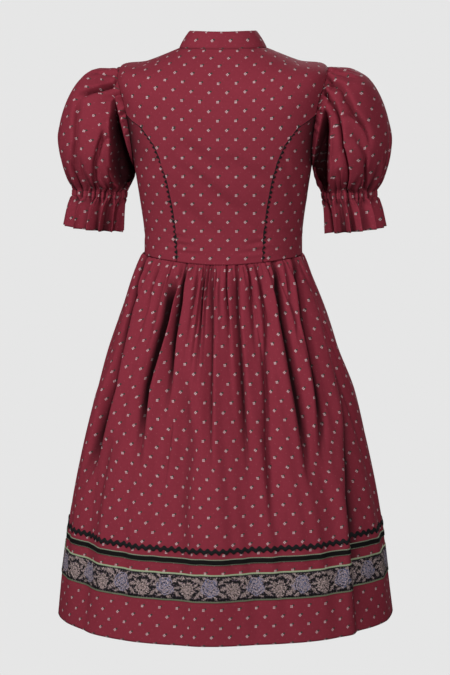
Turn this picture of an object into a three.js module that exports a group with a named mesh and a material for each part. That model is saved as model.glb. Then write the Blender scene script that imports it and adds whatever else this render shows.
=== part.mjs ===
// A knee-length dirndl: fitted bodice with princess seams, stand collar, puff sleeves drawn in by an
// elastic casing above a ruffle, and a skirt gathered onto the waist, with three rows of trim above
// the hem. It is filled out as it hangs on a figure, and it is hollow.
// Millimetres. +Z is up, the front faces -Y, and +X is the wearer's left. The origin lies midway
// between the two places where the shoulder seams meet the collar.
// Angles are degrees round the body: 0 is the wearer's left side, 90 the centre back, 180 the right
// side and 270 the centre front.
import * as THREE from "three";

// ---- Cloth and seams
const CLOTH = 1.3; // wall of the bodice and sleeves, with their seam allowances
const GATHERED_CLOTH = 2.1; // wall of the skirt, measured towards the axis because its folds stand steep
const COLLAR_CLOTH = 2.4; // collar, two layers
const TRIM_CLOTH = 1.1; // ribbons and braid
const SEAM_GAP = 0.3; // between two sewn edges
const LAY_GAP = 0.3; // under a trim that lies on the cloth
const LEVEL_STEP = 0.01; // step used to find the slope of the body
const ANGLE_STEP = 0.4;

// ---- The figure: one row for each level, from the neck seam down to the waist seam.
// half: half width at the side. back, front: depth from the mid axis. power: 2 is an ellipse, more is boxier.
// A level's height is zSide at the sides and falls to zBack and zFront at the centres.
const FIGURE = [
  { half: 81, back: 56, front: 58, zSide: 0, zBack: -3, zFront: -62, power: 2.2 }, // neck seam
  { half: 138, back: 89, front: 92, zSide: -22, zBack: -48, zFront: -104, power: 2.6 }, // mid shoulder
  { half: 191, back: 109, front: 118, zSide: -35, zBack: -102, zFront: -150, power: 3.0 }, // shoulder point
  { half: 182, back: 115, front: 137, zSide: -107, zBack: -154, zFront: -195, power: 3.0 }, // mid armhole
  { half: 164, back: 111, front: 142, zSide: -213, zBack: -221, zFront: -238, power: 2.7 }, // underarm
  { half: 153, back: 99, front: 121, zSide: -288, zBack: -296, zFront: -303, power: 2.4 }, // midriff
  { half: 147.5, back: 94, front: 108, zSide: -332, zBack: -345, zFront: -344, power: 2.3 }, // high waist
  { half: 147, back: 95, front: 104, zSide: -377, zBack: -391, zFront: -385, power: 2.2 }, // waist seam
];
const LEVEL_FALL = 1.2; // how fast a level falls from side to centre
const SHOULDER_POINT = 2; // rows of the figure that other pieces start from
const ARMHOLE_MID = 3;
const UNDERARM = 4;
const WAIST = 7;

// ---- Seam lines on the figure, as angles from the side seam at each level
const ARMHOLE = { back: 19.5, front: 20.5, power: 2.4 }; // half width of the armhole, and its squareness
const BACK_PRINCESS = [
  { level: 3, angle: 19.5 },
  { level: 3.17, angle: 32.5 },
  { level: 3.5, angle: 39.8 },
  { level: 3.87, angle: 43.4 },
  { level: 4.3, angle: 45.2 },
  { level: 5, angle: 45.6 },
  { level: 6, angle: 45.8 },
  { level: 7, angle: 46.7 },
];
const FRONT_PRINCESS = [
  { level: 3, angle: 20.5 },
  { level: 3.2, angle: 35 },
  { level: 3.5, angle: 45 },
  { level: 4, angle: 52 },
  { level: 5, angle: 54.5 },
  { level: 7, angle: 56 },
];
const YOKE_LEVELS = [0, 0.5, 1, 1.5, 2, 2.12, 2.32, 2.62]; // rows of points above the princess seams
const SEAM_LEVELS = [3.02, 3.1, 3.25, 3.5, 3.75, 4, 4.5, 5, 6, 7]; // and beside them

// ---- Collar: its seam and its top edge, and the opening between its ends at the centre front
const COLLAR = {
  seam: { half: 81.6, back: 56.6, front: 58.6, zSide: 1.3, zBack: -2.7, zFront: -60.5, power: 2.2 },
  top: { half: 61.5, back: 45, front: 45, zSide: 31.5, zBack: 28, zFront: -32, power: 2.1 },
  bow: 1.6, // how far its middle stands out
  opening: 5,
  quarter: 9, // columns in a quarter turn
};

// ---- Front closure
const PLACKET = { width: 24, gap: 0.8, ends: [0.06, 6.98] }; // ends are levels, just clear of its neighbours
const BUTTON = { radius: 5.5, height: 2.6, rim: 0.8, seat: 0.5 };
const BUTTON_LEVELS = [0.35, 1.3, 2.2, 3.15, 4.02, 4.8, 5.7, 6.7];

// ---- Princess seam trim: a narrow braid caught in the seam
const PIPING = { width: 2.6, height: 1.2 };

// ---- Sleeve rings, from just off the armhole to the ruffle's edge. outer and inner are the points
// furthest from and nearest to the body, y the ring's centre, and wide its half width front to back.
const SLEEVE_RINGS = [
  { outer: [208, -39], inner: [165, -221], y: -1, wide: 69 },
  { outer: [239, -43], inner: [167, -229], y: -3, wide: 79 },
  { outer: [266, -59], inner: [168, -236], y: -5, wide: 85 },
  { outer: [291, -100], inner: [170, -242], y: -7, wide: 87 },
  { outer: [307, -152], inner: [172, -247], y: -9, wide: 85 },
  { outer: [306, -197], inner: [175, -252], y: -11, wide: 77 },
  { outer: [295, -236], inner: [179, -257], y: -12, wide: 64 },
  { outer: [284, -260], inner: [183, -265], y: -13, wide: 50 },
  { outer: [284, -272], inner: [185, -278], y: -13, wide: 50 },
  { outer: [288, -292], inner: [191, -299], y: -14, wide: 52 },
  { outer: [293, -329], inner: [196, -339], y: -15, wide: 56 },
];
const HEAD_COLUMNS = 30; // points round the sleeve in its upper part, and twice as many below
const FINE_FROM = 4; // first ring with twice the points
const CASING_FIRST = 7; // rings of the elastic casing
const CASING_LAST = 8;
const HEAD_FOLD = { depth: [3.2, 4.2, 3.4, 2.2], reach: 80 }; // over the head, to reach degrees from its top
const CASING_GATHER = { columns: 3, depth: [1.2, 2.0, 3.2, 1.7, 1.7] }; // rings 4 to 8
const RUFFLE_WAVE = { columns: 5, depth: [4.5, 7.5] }; // rings 9 and 10

// ---- Skirt: base sections from the waist (drop 0) to the hem (drop 1), before folds. lean moves a
// section along X and turn turns it, because the skirt hangs a little to the wearer's right.
const HEM_Z = -1055;
const SKIRT = [
  { drop: 0, half: 149, back: 96, front: 105, power: 2.2, lean: 0, turn: 0 },
  { drop: 0.025, half: 156.5, back: 103, front: 111, power: 2.2, lean: 0, turn: 0 },
  { drop: 0.07, half: 169, back: 114, front: 121, power: 2.2, lean: 0, turn: -1 },
  { drop: 0.14, half: 186, back: 132, front: 138, power: 2.2, lean: -2, turn: -2 },
  { drop: 0.25, half: 211, back: 157, front: 161, power: 2.2, lean: -3, turn: -3 },
  { drop: 0.4, half: 241, back: 183, front: 186, power: 2.25, lean: -4, turn: -4 },
  { drop: 0.56, half: 267, back: 206, front: 208, power: 2.25, lean: -5, turn: -5 },
  { drop: 0.725, half: 290, back: 225, front: 227, power: 2.25, lean: -6, turn: -6 },
  { drop: 0.885, half: 305.7, back: 233.1, front: 235.7, power: 2.25, lean: -6, turn: -6.6 },
  { drop: 1, half: 317, back: 239, front: 242, power: 2.25, lean: -6, turn: -7 },
];
const FOLDS_SETTLE = 0.725; // from this drop down the folds keep their form, so the trims lie flat
const HEM_BAND = 0.885; // below this drop, under the trims, they grow shallower
const HEM_SHARE = 0.55; // how much of a fold's depth is left at the hem
const GATHERS = 40; // round the waist
const GATHER_POINTS = [0, 0.3, 0.7]; // valley and the two shoulders of each crest, as a share of its pitch
const GATHER_VALLEY = [1.2, 4, 5.5, 5, 3.2, 1.4, 0, 0, 0, 0]; // depth of the valleys at each section
const GATHER_CREST = [2.2, 3.4, 3.6, 2.8, 1.6, 0.8, 0, 0, 0, 0];
const GATHER_DRIFT = [
  { times: 7, degrees: 1.1 },
  { times: 11, degrees: 0.8 },
]; // how uneven their spacing is
const BROAD_WAVES = [
  { times: 5, depth: 4, turn: 40 },
  { times: 9, depth: 2.5, turn: 10 },
]; // slow waves towards the hem

// The long folds. at and hemAt are their angles at the waist and at the hem, wide the half width of the
// valley in degrees, ridge the crest beside it and side the side that it is on, and from and to the
// drops between which the fold shows.
const FOLDS = [
  { at: 8, hemAt: 9, wide: 5, deep: 5, ridge: 9, side: 1, from: 0.25, to: 1.6 },
  { at: 19, hemAt: 29, wide: 3.5, deep: 13, ridge: 5, side: 1, from: 0.01, to: 0.75 },
  { at: 33, hemAt: 31, wide: 4.5, deep: 5, ridge: 7, side: 1, from: 0.42, to: 1.6 },
  { at: 50, hemAt: 55, wide: 4, deep: 13, ridge: 5, side: 1, from: 0.02, to: 0.8 },
  { at: 58, hemAt: 72, wide: 3.5, deep: 10, ridge: 4, side: 1, from: 0.02, to: 0.36 },
  { at: 71, hemAt: 79, wide: 5, deep: 9, ridge: 3, side: 1, from: 0.2, to: 1.6 },
  { at: 84, hemAt: 91, wide: 3.5, deep: 9, ridge: 4, side: 1, from: 0.02, to: 0.45 },
  { at: 109, hemAt: 104, wide: 3.5, deep: 10, ridge: 4, side: 1, from: 0.02, to: 0.6 },
  { at: 130, hemAt: 108, wide: 4.5, deep: 6, ridge: 3, side: -1, from: 0.08, to: 0.7 },
  { at: 135, hemAt: 137, wide: 4, deep: 12, ridge: 5, side: -1, from: 0.02, to: 0.8 },
  { at: 158, hemAt: 138, wide: 3.5, deep: 11, ridge: 4, side: -1, from: 0.02, to: 0.7 },
  { at: 178, hemAt: 148, wide: 6.5, deep: 21, ridge: 4, side: -1, from: 0.1, to: 1.6 },
  { at: 193, hemAt: 193, wide: 5, deep: 6, ridge: 8, side: -1, from: 0.25, to: 1.6 },
  { at: 201, hemAt: 207, wide: 5, deep: 13, ridge: 7, side: 1, from: 0.02, to: 1.6 },
  { at: 214, hemAt: 217, wide: 4, deep: 9, ridge: 4, side: 1, from: 0.02, to: 0.6 },
  { at: 228, hemAt: 229, wide: 4, deep: 12, ridge: 5, side: 1, from: 0.02, to: 0.8 },
  { at: 243, hemAt: 246, wide: 5, deep: 9, ridge: 4, side: 1, from: 0.1, to: 1.3 },
  { at: 257, hemAt: 256, wide: 3.5, deep: 10, ridge: 4, side: 1, from: 0.02, to: 0.45 },
  { at: 274, hemAt: 271, wide: 4.5, deep: 9, ridge: 4, side: 1, from: 0.05, to: 1.2 },
  { at: 289, hemAt: 290, wide: 3.5, deep: 9, ridge: 4, side: -1, from: 0.02, to: 0.5 },
  { at: 304, hemAt: 301, wide: 4.5, deep: 11, ridge: 5, side: -1, from: 0.02, to: 1.1 },
  { at: 319, hemAt: 316, wide: 4, deep: 10, ridge: 4, side: -1, from: 0.02, to: 0.7 },
  { at: 334, hemAt: 328, wide: 5, deep: 13, ridge: 8, side: -1, from: 0.02, to: 1.6 },
  { at: 348, hemAt: 347, wide: 4, deep: 6, ridge: 3, side: -1, from: 0.1, to: 0.8 },
];

// ---- Trims, as heights above the hem measured along the cloth
const SKIRT_LENGTH = 669; // waist seam to hem along the cloth, at the centre back
const TRIMS = [
  { name: "floral_ribbon", low: 80, high: 130.5, color: "#2b2a2e" },
  { name: "narrow_ribbon", low: 147, high: 158, color: "#17141a" },
];
const RICKRACK = { middle: 171.5, rise: 3.6, width: 5, pointsPerColumn: 2 };

// ---- Colours
const BURGUNDY = { color: "#7d2c3b", roughness: 0.85, metalness: 0 };
const BLACK_BRAID = { color: "#17171a", roughness: 0.7, metalness: 0 };
const BUTTON_FINISH = { color: "#5e1f2b", roughness: 0.45, metalness: 0 };

const radians = THREE.MathUtils.degToRad;
const mix = THREE.MathUtils.lerp;

// ---- Curves through tables

// Value at place t of a list whose entries are one apart, on a smooth curve through them.
function smoothAt(values, t) {
  const last = values.length - 1;
  const i = Math.min(Math.max(Math.floor(t), 0), last - 1);
  const f = t - i;
  const before = values[Math.max(i - 1, 0)];
  const after = values[Math.min(i + 2, last)];
  const bend = -before + 3 * values[i] - 3 * values[i + 1] + after;
  const curve = 2 * before - 5 * values[i] + 4 * values[i + 1] - after;
  const slope = values[i + 1] - before;
  return values[i] + 0.5 * f * (slope + f * (curve + f * bend));
}

// Value of column name at place x of a table sorted by its column key, in straight steps.
function stepAt(table, key, name, x) {
  let i = 1;
  while (i < table.length - 1 && table[i][key] < x) i++;
  const from = table[i - 1];
  const to = table[i];
  const share = THREE.MathUtils.clamp((x - from[key]) / (to[key] - from[key]), 0, 1);
  return mix(from[name], to[name], share);
}

function ramp(x, from, to) {
  return THREE.MathUtils.smoothstep(x, from, to);
}

// ---- Sections of the body

function sectionRadius(angle, section) {
  const depth = Math.sin(radians(angle)) >= 0 ? section.back : section.front;
  const across = Math.abs(Math.cos(radians(angle))) / section.half;
  const along = Math.abs(Math.sin(radians(angle))) / depth;
  return (across ** section.power + along ** section.power) ** (-1 / section.power);
}

function sectionHeight(angle, section) {
  const centre = Math.sin(radians(angle)) >= 0 ? section.zBack : section.zFront;
  return mix(section.zSide, centre, Math.abs(Math.sin(radians(angle))) ** LEVEL_FALL);
}

function polarPoint(angle, radius, z) {
  return new THREE.Vector3(radius * Math.cos(radians(angle)), radius * Math.sin(radians(angle)), z);
}

function sectionPoint(angle, section) {
  return polarPoint(angle, sectionRadius(angle, section), sectionHeight(angle, section));
}

function figureSection(level) {
  const section = {};
  for (const column of Object.keys(FIGURE[0])) {
    section[column] = smoothAt(FIGURE.map((row) => row[column]), level);
  }
  return section;
}

function figurePoint(angle, level) {
  return sectionPoint(angle, figureSection(level));
}

// Outward direction of the body's surface.
function figureNormal(angle, level) {
  const down = figurePoint(angle, Math.min(level + LEVEL_STEP, WAIST));
  down.sub(figurePoint(angle, Math.max(level - LEVEL_STEP, 0)));
  const round = figurePoint(angle + ANGLE_STEP, level).sub(figurePoint(angle - ANGLE_STEP, level));
  return down.cross(round).normalize();
}

// ---- Closed walls

// Triangles between two rows of vertex numbers. The lower row has as many spans as the upper, or twice
// as many.
function stitch(faces, upper, lower, closed) {
  const spans = closed ? upper.length : upper.length - 1;
  const double = lower.length > upper.length;
  for (let i = 0; i < spans; i++) {
    const a = upper[i];
    const b = upper[(i + 1) % upper.length];
    if (double) {
      const c = lower[2 * i];
      const d = lower[2 * i + 1];
      const e = lower[(2 * i + 2) % lower.length];
      faces.push(a, c, d, a, d, b, b, d, e);
    } else {
      const c = lower[i];
      const d = lower[(i + 1) % lower.length];
      faces.push(a, c, d, a, d, b);
    }
  }
}

// A solid wall between an outer and an inner grid of points. Rows run down the cloth and columns run
// counter-clockwise seen from the first row's side. A closed wall joins its last column to its first.
function wall(outerRows, innerRows, closed) {
  const points = [];
  const number = (row) => row.map((p) => points.push(p.x, p.y, p.z) / 3 - 1);
  const outer = outerRows.map(number);
  const inner = innerRows.map(number);
  const faces = [];
  const last = outer.length - 1;
  for (let r = 0; r < last; r++) {
    stitch(faces, outer[r], outer[r + 1], closed);
    const inside = [];
    stitch(inside, inner[r], inner[r + 1], closed);
    faces.push(...inside.reverse());
  }
  stitch(faces, inner[0], outer[0], closed);
  stitch(faces, outer[last], inner[last], closed);
  if (!closed) {
    for (let r = 0; r < last; r++) {
      faces.push(outer[r][0], inner[r][0], inner[r + 1][0], outer[r][0], inner[r + 1][0], outer[r + 1][0]);
      const [a, b] = [outer[r].at(-1), outer[r + 1].at(-1)];
      const [c, d] = [inner[r].at(-1), inner[r + 1].at(-1)];
      faces.push(a, d, c, a, b, d);
    }
  }
  const geometry = new THREE.BufferGeometry();
  geometry.setAttribute("position", new THREE.Float32BufferAttribute(points, 3));
  geometry.setIndex(faces);
  geometry.computeVertexNormals();
  return geometry;
}

const dress = new THREE.Group();

function addMesh(name, geometry, finish) {
  const mesh = new THREE.Mesh(geometry, new THREE.MeshStandardMaterial(finish));
  mesh.name = name;
  dress.add(mesh);
  return mesh;
}

// The same piece on the wearer's left and, mirrored, on the right.
function addPair(name, geometry, finish) {
  addMesh(`${name}_left`, geometry, finish);
  addMesh(`${name}_right`, geometry, finish).scale.x = -1;
}

// ---- Bodice panels

// Angle of the armhole's edge from the side, where depth is its half width at mid height.
function armholeAngle(level, depth) {
  const share = Math.abs(level - ARMHOLE_MID) / (UNDERARM - ARMHOLE_MID);
  return depth * (1 - Math.min(share, 1) ** ARMHOLE.power) ** (1 / ARMHOLE.power);
}

// Edge of the centre back or centre front: shoulder seam, then armhole, then princess seam.
function centreEdge(level, armhole, princess) {
  if (level <= SHOULDER_POINT) return 0;
  if (level <= ARMHOLE_MID) return armholeAngle(level, armhole);
  return stepAt(princess, "level", "angle", level);
}

// A panel with its outside raised by lift above the figure. edges gives its two angles at a level.
function panel(levels, edges, columns, lift, thickness) {
  const outer = [];
  const inner = [];
  for (const level of levels) {
    const [from, to] = edges(level);
    const trim = THREE.MathUtils.radToDeg(SEAM_GAP / 2 / figurePoint(from, level).setZ(0).length());
    const outerRow = [];
    const innerRow = [];
    for (let c = 0; c <= columns; c++) {
      const angle = mix(from + trim, to - trim, c / columns);
      const point = figurePoint(angle, level);
      const normal = figureNormal(angle, level);
      outerRow.push(point.clone().addScaledVector(normal, lift));
      innerRow.push(point.clone().addScaledVector(normal, lift - thickness));
    }
    outer.push(outerRow);
    inner.push(innerRow);
  }
  return wall(outer, inner, false);
}

const centreLevels = [...YOKE_LEVELS, ...SEAM_LEVELS];
const backEdge = (level) => centreEdge(level, ARMHOLE.back, BACK_PRINCESS);
const frontEdge = (level) => centreEdge(level, ARMHOLE.front, FRONT_PRINCESS);

addMesh("back_panel", panel(centreLevels, (l) => [backEdge(l), 180 - backEdge(l)], 12, 0, CLOTH), BURGUNDY);
addPair("front_panel", panel(centreLevels, (l) => [-90, -frontEdge(l)], 6, 0, CLOTH), BURGUNDY);

const sideBack = (l) => [armholeAngle(l, ARMHOLE.back), stepAt(BACK_PRINCESS, "level", "angle", l)];
const sideFront = (l) => [-stepAt(FRONT_PRINCESS, "level", "angle", l), -armholeAngle(l, ARMHOLE.front)];
addPair("side_back_panel", panel(SEAM_LEVELS, sideBack, 4, 0, CLOTH), BURGUNDY);
addPair("side_front_panel", panel(SEAM_LEVELS, sideFront, 4, 0, CLOTH), BURGUNDY);

// ---- Princess seam braid, lying along the seam on both panels

function seamBraid(princess, turn) {
  const outer = [];
  const inner = [];
  for (const level of SEAM_LEVELS) {
    const angle = turn * stepAt(princess, "level", "angle", level);
    const outerRow = [];
    const innerRow = [];
    for (const side of [-1, 1]) {
      const share = THREE.MathUtils.radToDeg(PIPING.width / 2 / figurePoint(angle, level).setZ(0).length());
      const at = angle + side * share;
      const normal = figureNormal(at, level);
      outerRow.push(figurePoint(at, level).addScaledVector(normal, LAY_GAP + 0.15 + PIPING.height));
      innerRow.push(figurePoint(at, level).addScaledVector(normal, LAY_GAP + 0.15));
    }
    outer.push(outerRow);
    inner.push(innerRow);
  }
  return wall(outer, inner, false);
}

addPair("back_seam_braid", seamBraid(BACK_PRINCESS, 1), BLACK_BRAID);
addPair("front_seam_braid", seamBraid(FRONT_PRINCESS, -1), BLACK_BRAID);

// ---- Collar: a stand that leans in, open at the centre front

function collarWall() {
  const outer = [];
  const inner = [];
  for (const rise of [1, 0.5, 0]) {
    const section = {};
    for (const column of Object.keys(COLLAR.seam)) {
      section[column] = mix(COLLAR.seam[column], COLLAR.top[column], rise);
    }
    const bow = COLLAR.bow * 4 * rise * (1 - rise);
    const gap = THREE.MathUtils.radToDeg(COLLAR.opening / 2 / section.front);
    const outerRow = [];
    const innerRow = [];
    for (let c = -COLLAR.quarter; c <= 3 * COLLAR.quarter; c++) {
      const angle = THREE.MathUtils.clamp((90 * c) / COLLAR.quarter, -90 + gap, 270 - gap);
      const radius = sectionRadius(angle, section) + bow;
      const z = sectionHeight(angle, section);
      outerRow.push(polarPoint(angle, radius, z));
      innerRow.push(polarPoint(angle, radius - COLLAR_CLOTH, z));
    }
    outer.push(outerRow);
    inner.push(innerRow);
  }
  return wall(outer, inner, false);
}

addMesh("collar", collarWall(), BURGUNDY);

// ---- Front closure: a strip over the two front edges, with its buttons

const placketLift = PLACKET.gap + CLOTH;
const placketLevels = [...centreLevels, ...BUTTON_LEVELS]
  .map((level) => THREE.MathUtils.clamp(level, ...PLACKET.ends))
  .sort((a, b) => a - b);

function placketEdges(level) {
  const half = THREE.MathUtils.radToDeg(PLACKET.width / 2 / figurePoint(-90, level).setZ(0).length());
  return [-90 - half, -90 + half];
}

function buttonGeometry() {
  const profile = [
    [0, 0],
    [BUTTON.radius, 0],
    [BUTTON.radius, BUTTON.height - BUTTON.rim],
    [BUTTON.radius - BUTTON.rim, BUTTON.height],
    [BUTTON.radius * 0.6, BUTTON.height - BUTTON.rim],
    [0, BUTTON.height - BUTTON.rim],
  ];
  return new THREE.LatheGeometry(profile.map(([r, h]) => new THREE.Vector2(r, h)), 10);
}

addMesh("front_placket", panel(placketLevels, placketEdges, 2, placketLift, CLOTH), BURGUNDY);
BUTTON_LEVELS.forEach((level, i) => {
  const normal = figureNormal(-90, level);
  const button = addMesh(`button_${i + 1}`, buttonGeometry(), BUTTON_FINISH);
  button.position.copy(figurePoint(-90, level).addScaledVector(normal, placketLift + BUTTON.seat));
  button.quaternion.setFromUnitVectors(new THREE.Vector3(0, 1, 0), normal);
});

// ---- Sleeves

// The armhole seam at turn degrees: 0 is its top, 90 its back, 180 the underarm and 270 its front.
function armholePoint(turn) {
  const level = ARMHOLE_MID - Math.cos(radians(turn));
  const back = Math.sin(radians(turn)) >= 0;
  const angle = back ? armholeAngle(level, ARMHOLE.back) : -armholeAngle(level, ARMHOLE.front);
  const point = figurePoint(angle, level);
  return point.addScaledVector(figureNormal(angle, level), LAY_GAP + SEAM_GAP / 2);
}

// How far the cloth stands in or out of ring number ring, whose column is one of so many.
function sleeveWave(ring, column, turn) {
  const fromTop = Math.abs(turn > 180 ? turn - 360 : turn);
  if (ring < FINE_FROM) {
    const fade = 1 - ramp(fromTop, HEAD_FOLD.reach * 0.6, HEAD_FOLD.reach);
    return fade * HEAD_FOLD.depth[ring] * (column % 2 ? -1 : 1);
  }
  if (ring <= CASING_LAST) {
    const depth = CASING_GATHER.depth[ring - FINE_FROM];
    return column % CASING_GATHER.columns ? depth / 2 : -depth;
  }
  const wave = Math.cos((2 * Math.PI * column) / RUFFLE_WAVE.columns);
  return wave * RUFFLE_WAVE.depth[ring - CASING_LAST - 1];
}

function sleeveWall() {
  const outer = [];
  const inner = [];
  const armhole = [];
  for (let c = 0; c < HEAD_COLUMNS; c++) armhole.push(armholePoint((360 * c) / HEAD_COLUMNS));
  const centre = armhole.reduce((sum, p) => sum.add(p), new THREE.Vector3()).divideScalar(HEAD_COLUMNS);
  outer.push(armhole);
  inner.push(armhole.map((p) => p.clone().addScaledVector(centre.clone().sub(p).normalize(), CLOTH)));
  SLEEVE_RINGS.forEach((ring, number) => {
    const middle = new THREE.Vector3(
      (ring.outer[0] + ring.inner[0]) / 2,
      ring.y,
      (ring.outer[1] + ring.inner[1]) / 2,
    );
    const across = new THREE.Vector3(ring.outer[0], ring.y, ring.outer[1]).sub(middle);
    const half = across.length();
    across.normalize();
    const columns = number < FINE_FROM ? HEAD_COLUMNS : 2 * HEAD_COLUMNS;
    const outerRow = [];
    const innerRow = [];
    for (let c = 0; c < columns; c++) {
      const turn = (360 * c) / columns;
      const direction = across.clone().multiplyScalar(half * Math.cos(radians(turn)));
      direction.y += ring.wide * Math.sin(radians(turn));
      const radius = direction.length();
      direction.normalize();
      const wave = sleeveWave(number, c, turn);
      outerRow.push(middle.clone().addScaledVector(direction, radius + wave));
      innerRow.push(middle.clone().addScaledVector(direction, radius + wave - CLOTH * 1.15));
    }
    outer.push(outerRow);
    inner.push(innerRow);
  });
  return wall(outer, inner, true);
}

addPair("sleeve", sleeveWall(), BURGUNDY);

// ---- Skirt

// How far the long folds and slow waves move the cloth in or out.
function foldOffset(angle, drop) {
  const at = Math.min(drop, FOLDS_SETTLE);
  let offset = 0;
  for (const wave of BROAD_WAVES) {
    offset += ramp(at, 0.1, FOLDS_SETTLE) * wave.depth * Math.sin(radians(wave.times * angle + wave.turn));
  }
  for (const fold of FOLDS) {
    const shown = ramp(at, fold.from, fold.from + 0.1) * (1 - ramp(at, fold.to - 0.25, fold.to));
    const middle = mix(fold.at, fold.hemAt, at);
    const away = THREE.MathUtils.euclideanModulo(angle - middle + 180, 360) - 180;
    const valley = Math.exp(-((away / fold.wide) ** 2));
    const crest = Math.exp(-(((away - fold.side * 1.9 * fold.wide) / (1.3 * fold.wide)) ** 2));
    offset += shown * (fold.ridge * crest - fold.deep * valley);
  }
  return offset * mix(1, HEM_SHARE, Math.max(drop - HEM_BAND, 0) / (1 - HEM_BAND));
}

// Angle of column c of one half of the skirt, 0 at its first side seam. Its valleys lie every third column.
function gatherAngle(c) {
  const points = GATHER_POINTS.length;
  const share = (Math.floor(c / points) + GATHER_POINTS[c % points]) / (GATHERS / 2);
  let angle = 180 * share;
  for (const drift of GATHER_DRIFT) angle += drift.degrees * Math.sin(radians(drift.times * angle));
  return angle;
}

const HALF_COLUMNS = (GATHERS / 2) * GATHER_POINTS.length;

// Point of a whole column at one of the skirt's sections, standing out by lift. start is the side seam
// that the columns count from.
function skirtCorner(start, column, row, lift) {
  const section = SKIRT[row];
  const angle = start + gatherAngle(column);
  const gather = column % GATHER_POINTS.length === 0 ? -GATHER_VALLEY[row] : GATHER_CREST[row];
  const radius = sectionRadius(angle + section.turn, section) + gather + foldOffset(angle, section.drop);
  const top = sectionHeight(angle, figureSection(WAIST)) - LAY_GAP - SEAM_GAP / 2;
  const point = polarPoint(angle, radius + lift, mix(top, HEM_Z, section.drop));
  return point.setX(point.x + section.lean);
}

// Point of the skirt's wall at column c and a drop, in straight steps between its corners.
function skirtPoint(start, c, drop, lift) {
  const low = Math.min(Math.floor(c), HALF_COLUMNS - 1);
  let row = 1;
  while (row < SKIRT.length - 1 && SKIRT[row].drop < drop) row++;
  const share = (drop - SKIRT[row - 1].drop) / (SKIRT[row].drop - SKIRT[row - 1].drop);
  const [from, to] = [low, low + 1].map((column) => {
    const above = skirtCorner(start, column, row - 1, lift);
    return above.lerp(skirtCorner(start, column, row, lift), share);
  });
  return from.lerp(to, c - low);
}

function skirtHalf(start) {
  const outer = [];
  const inner = [];
  for (const { drop } of SKIRT) {
    const outerRow = [];
    const innerRow = [];
    for (let c = 0; c <= HALF_COLUMNS; c++) {
      const trim = c === 0 ? SEAM_GAP / 4 : c === HALF_COLUMNS ? -SEAM_GAP / 4 : 0;
      outerRow.push(skirtPoint(start, c + trim, drop, 0));
      innerRow.push(skirtPoint(start, c + trim, drop, -GATHERED_CLOTH));
    }
    outer.push(outerRow);
    inner.push(innerRow);
  }
  return wall(outer, inner, false);
}

addMesh("skirt_back", skirtHalf(0), BURGUNDY);
addMesh("skirt_front", skirtHalf(180), BURGUNDY);

// ---- Trims round the skirt, made from its own points

const trimDrop = (height) => 1 - height / SKIRT_LENGTH;

// A closed strip round both halves of the skirt. edges gives the heights of its upper and lower edge at
// a point.
function strip(pointsPerColumn, edges) {
  const rows = [[], []];
  const innerRows = [[], []];
  const points = 2 * HALF_COLUMNS * pointsPerColumn;
  for (let i = 0; i < points; i++) {
    const column = i / pointsPerColumn;
    const start = column < HALF_COLUMNS ? 0 : 180;
    edges(i).forEach((height, row) => {
      const place = [start, column % HALF_COLUMNS, trimDrop(height)];
      rows[row].push(skirtPoint(...place, LAY_GAP + TRIM_CLOTH));
      innerRows[row].push(skirtPoint(...place, LAY_GAP));
    });
  }
  return wall(rows, innerRows, true);
}

for (const trim of TRIMS) {
  addMesh(trim.name, strip(1, () => [trim.high, trim.low]), { ...BLACK_BRAID, color: trim.color });
}
const zigzag = (i) => RICKRACK.middle + (i % 2 ? -1 : 1) * RICKRACK.rise;
addMesh(
  "rickrack_braid",
  strip(RICKRACK.pointsPerColumn, (i) => [zigzag(i) + RICKRACK.width / 2, zigzag(i) - RICKRACK.width / 2]),
  BLACK_BRAID,
);

export default dress;
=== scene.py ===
import bpy
import numpy as np
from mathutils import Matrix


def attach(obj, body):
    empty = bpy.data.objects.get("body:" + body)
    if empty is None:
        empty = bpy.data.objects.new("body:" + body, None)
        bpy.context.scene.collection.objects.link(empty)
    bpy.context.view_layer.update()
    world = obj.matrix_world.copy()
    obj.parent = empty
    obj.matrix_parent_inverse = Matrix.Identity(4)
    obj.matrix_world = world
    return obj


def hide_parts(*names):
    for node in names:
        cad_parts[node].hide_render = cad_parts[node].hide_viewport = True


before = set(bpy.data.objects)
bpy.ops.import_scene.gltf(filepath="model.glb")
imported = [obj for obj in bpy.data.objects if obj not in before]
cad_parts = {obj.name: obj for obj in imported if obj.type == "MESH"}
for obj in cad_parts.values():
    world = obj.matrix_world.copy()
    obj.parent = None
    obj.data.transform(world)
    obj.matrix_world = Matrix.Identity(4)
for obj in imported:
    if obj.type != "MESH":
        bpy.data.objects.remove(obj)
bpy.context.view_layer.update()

# ---- Stand and light
# The dress hangs as on a wearer, with the pale floor at the wearer's feet. Two soft lamps stand high
# behind it, to its left and a little to its right, with weaker ones at its side and before it.
BACKDROP = (0.7913, 0.7913, 0.7913, 1)
FLOOR_HEIGHT = -1.46
LAMPS = [
    {"name": "left_lamp", "at": (2.6, 2.6, 1.45), "watts": 108, "size": 0.9},
    {"name": "right_lamp", "at": (-0.75, 3.7, 1.45), "watts": 82, "size": 0.9},
    {"name": "fill_lamp", "at": (-1.4, 3.0, -0.75), "watts": 20, "size": 1.8},
    {"name": "front_lamp", "at": (-1.0, -2.8, 1.3), "watts": 80, "size": 1.4},
]

camera_data = bpy.data.cameras.new("camera")
camera_data.lens = 86.08
camera_data.sensor_width = 36
camera_data.shift_x = 0.0025
camera_data.shift_y = -0.045
camera = bpy.data.objects.new("camera", camera_data)
camera.location = (-0.2354, 2.9908, -0.098)
camera.rotation_euler = np.radians((82.75, 0, 184.5))
bpy.context.collection.objects.link(camera)
bpy.context.scene.camera = camera
bpy.context.scene.view_settings.view_transform = "Standard"

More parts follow.
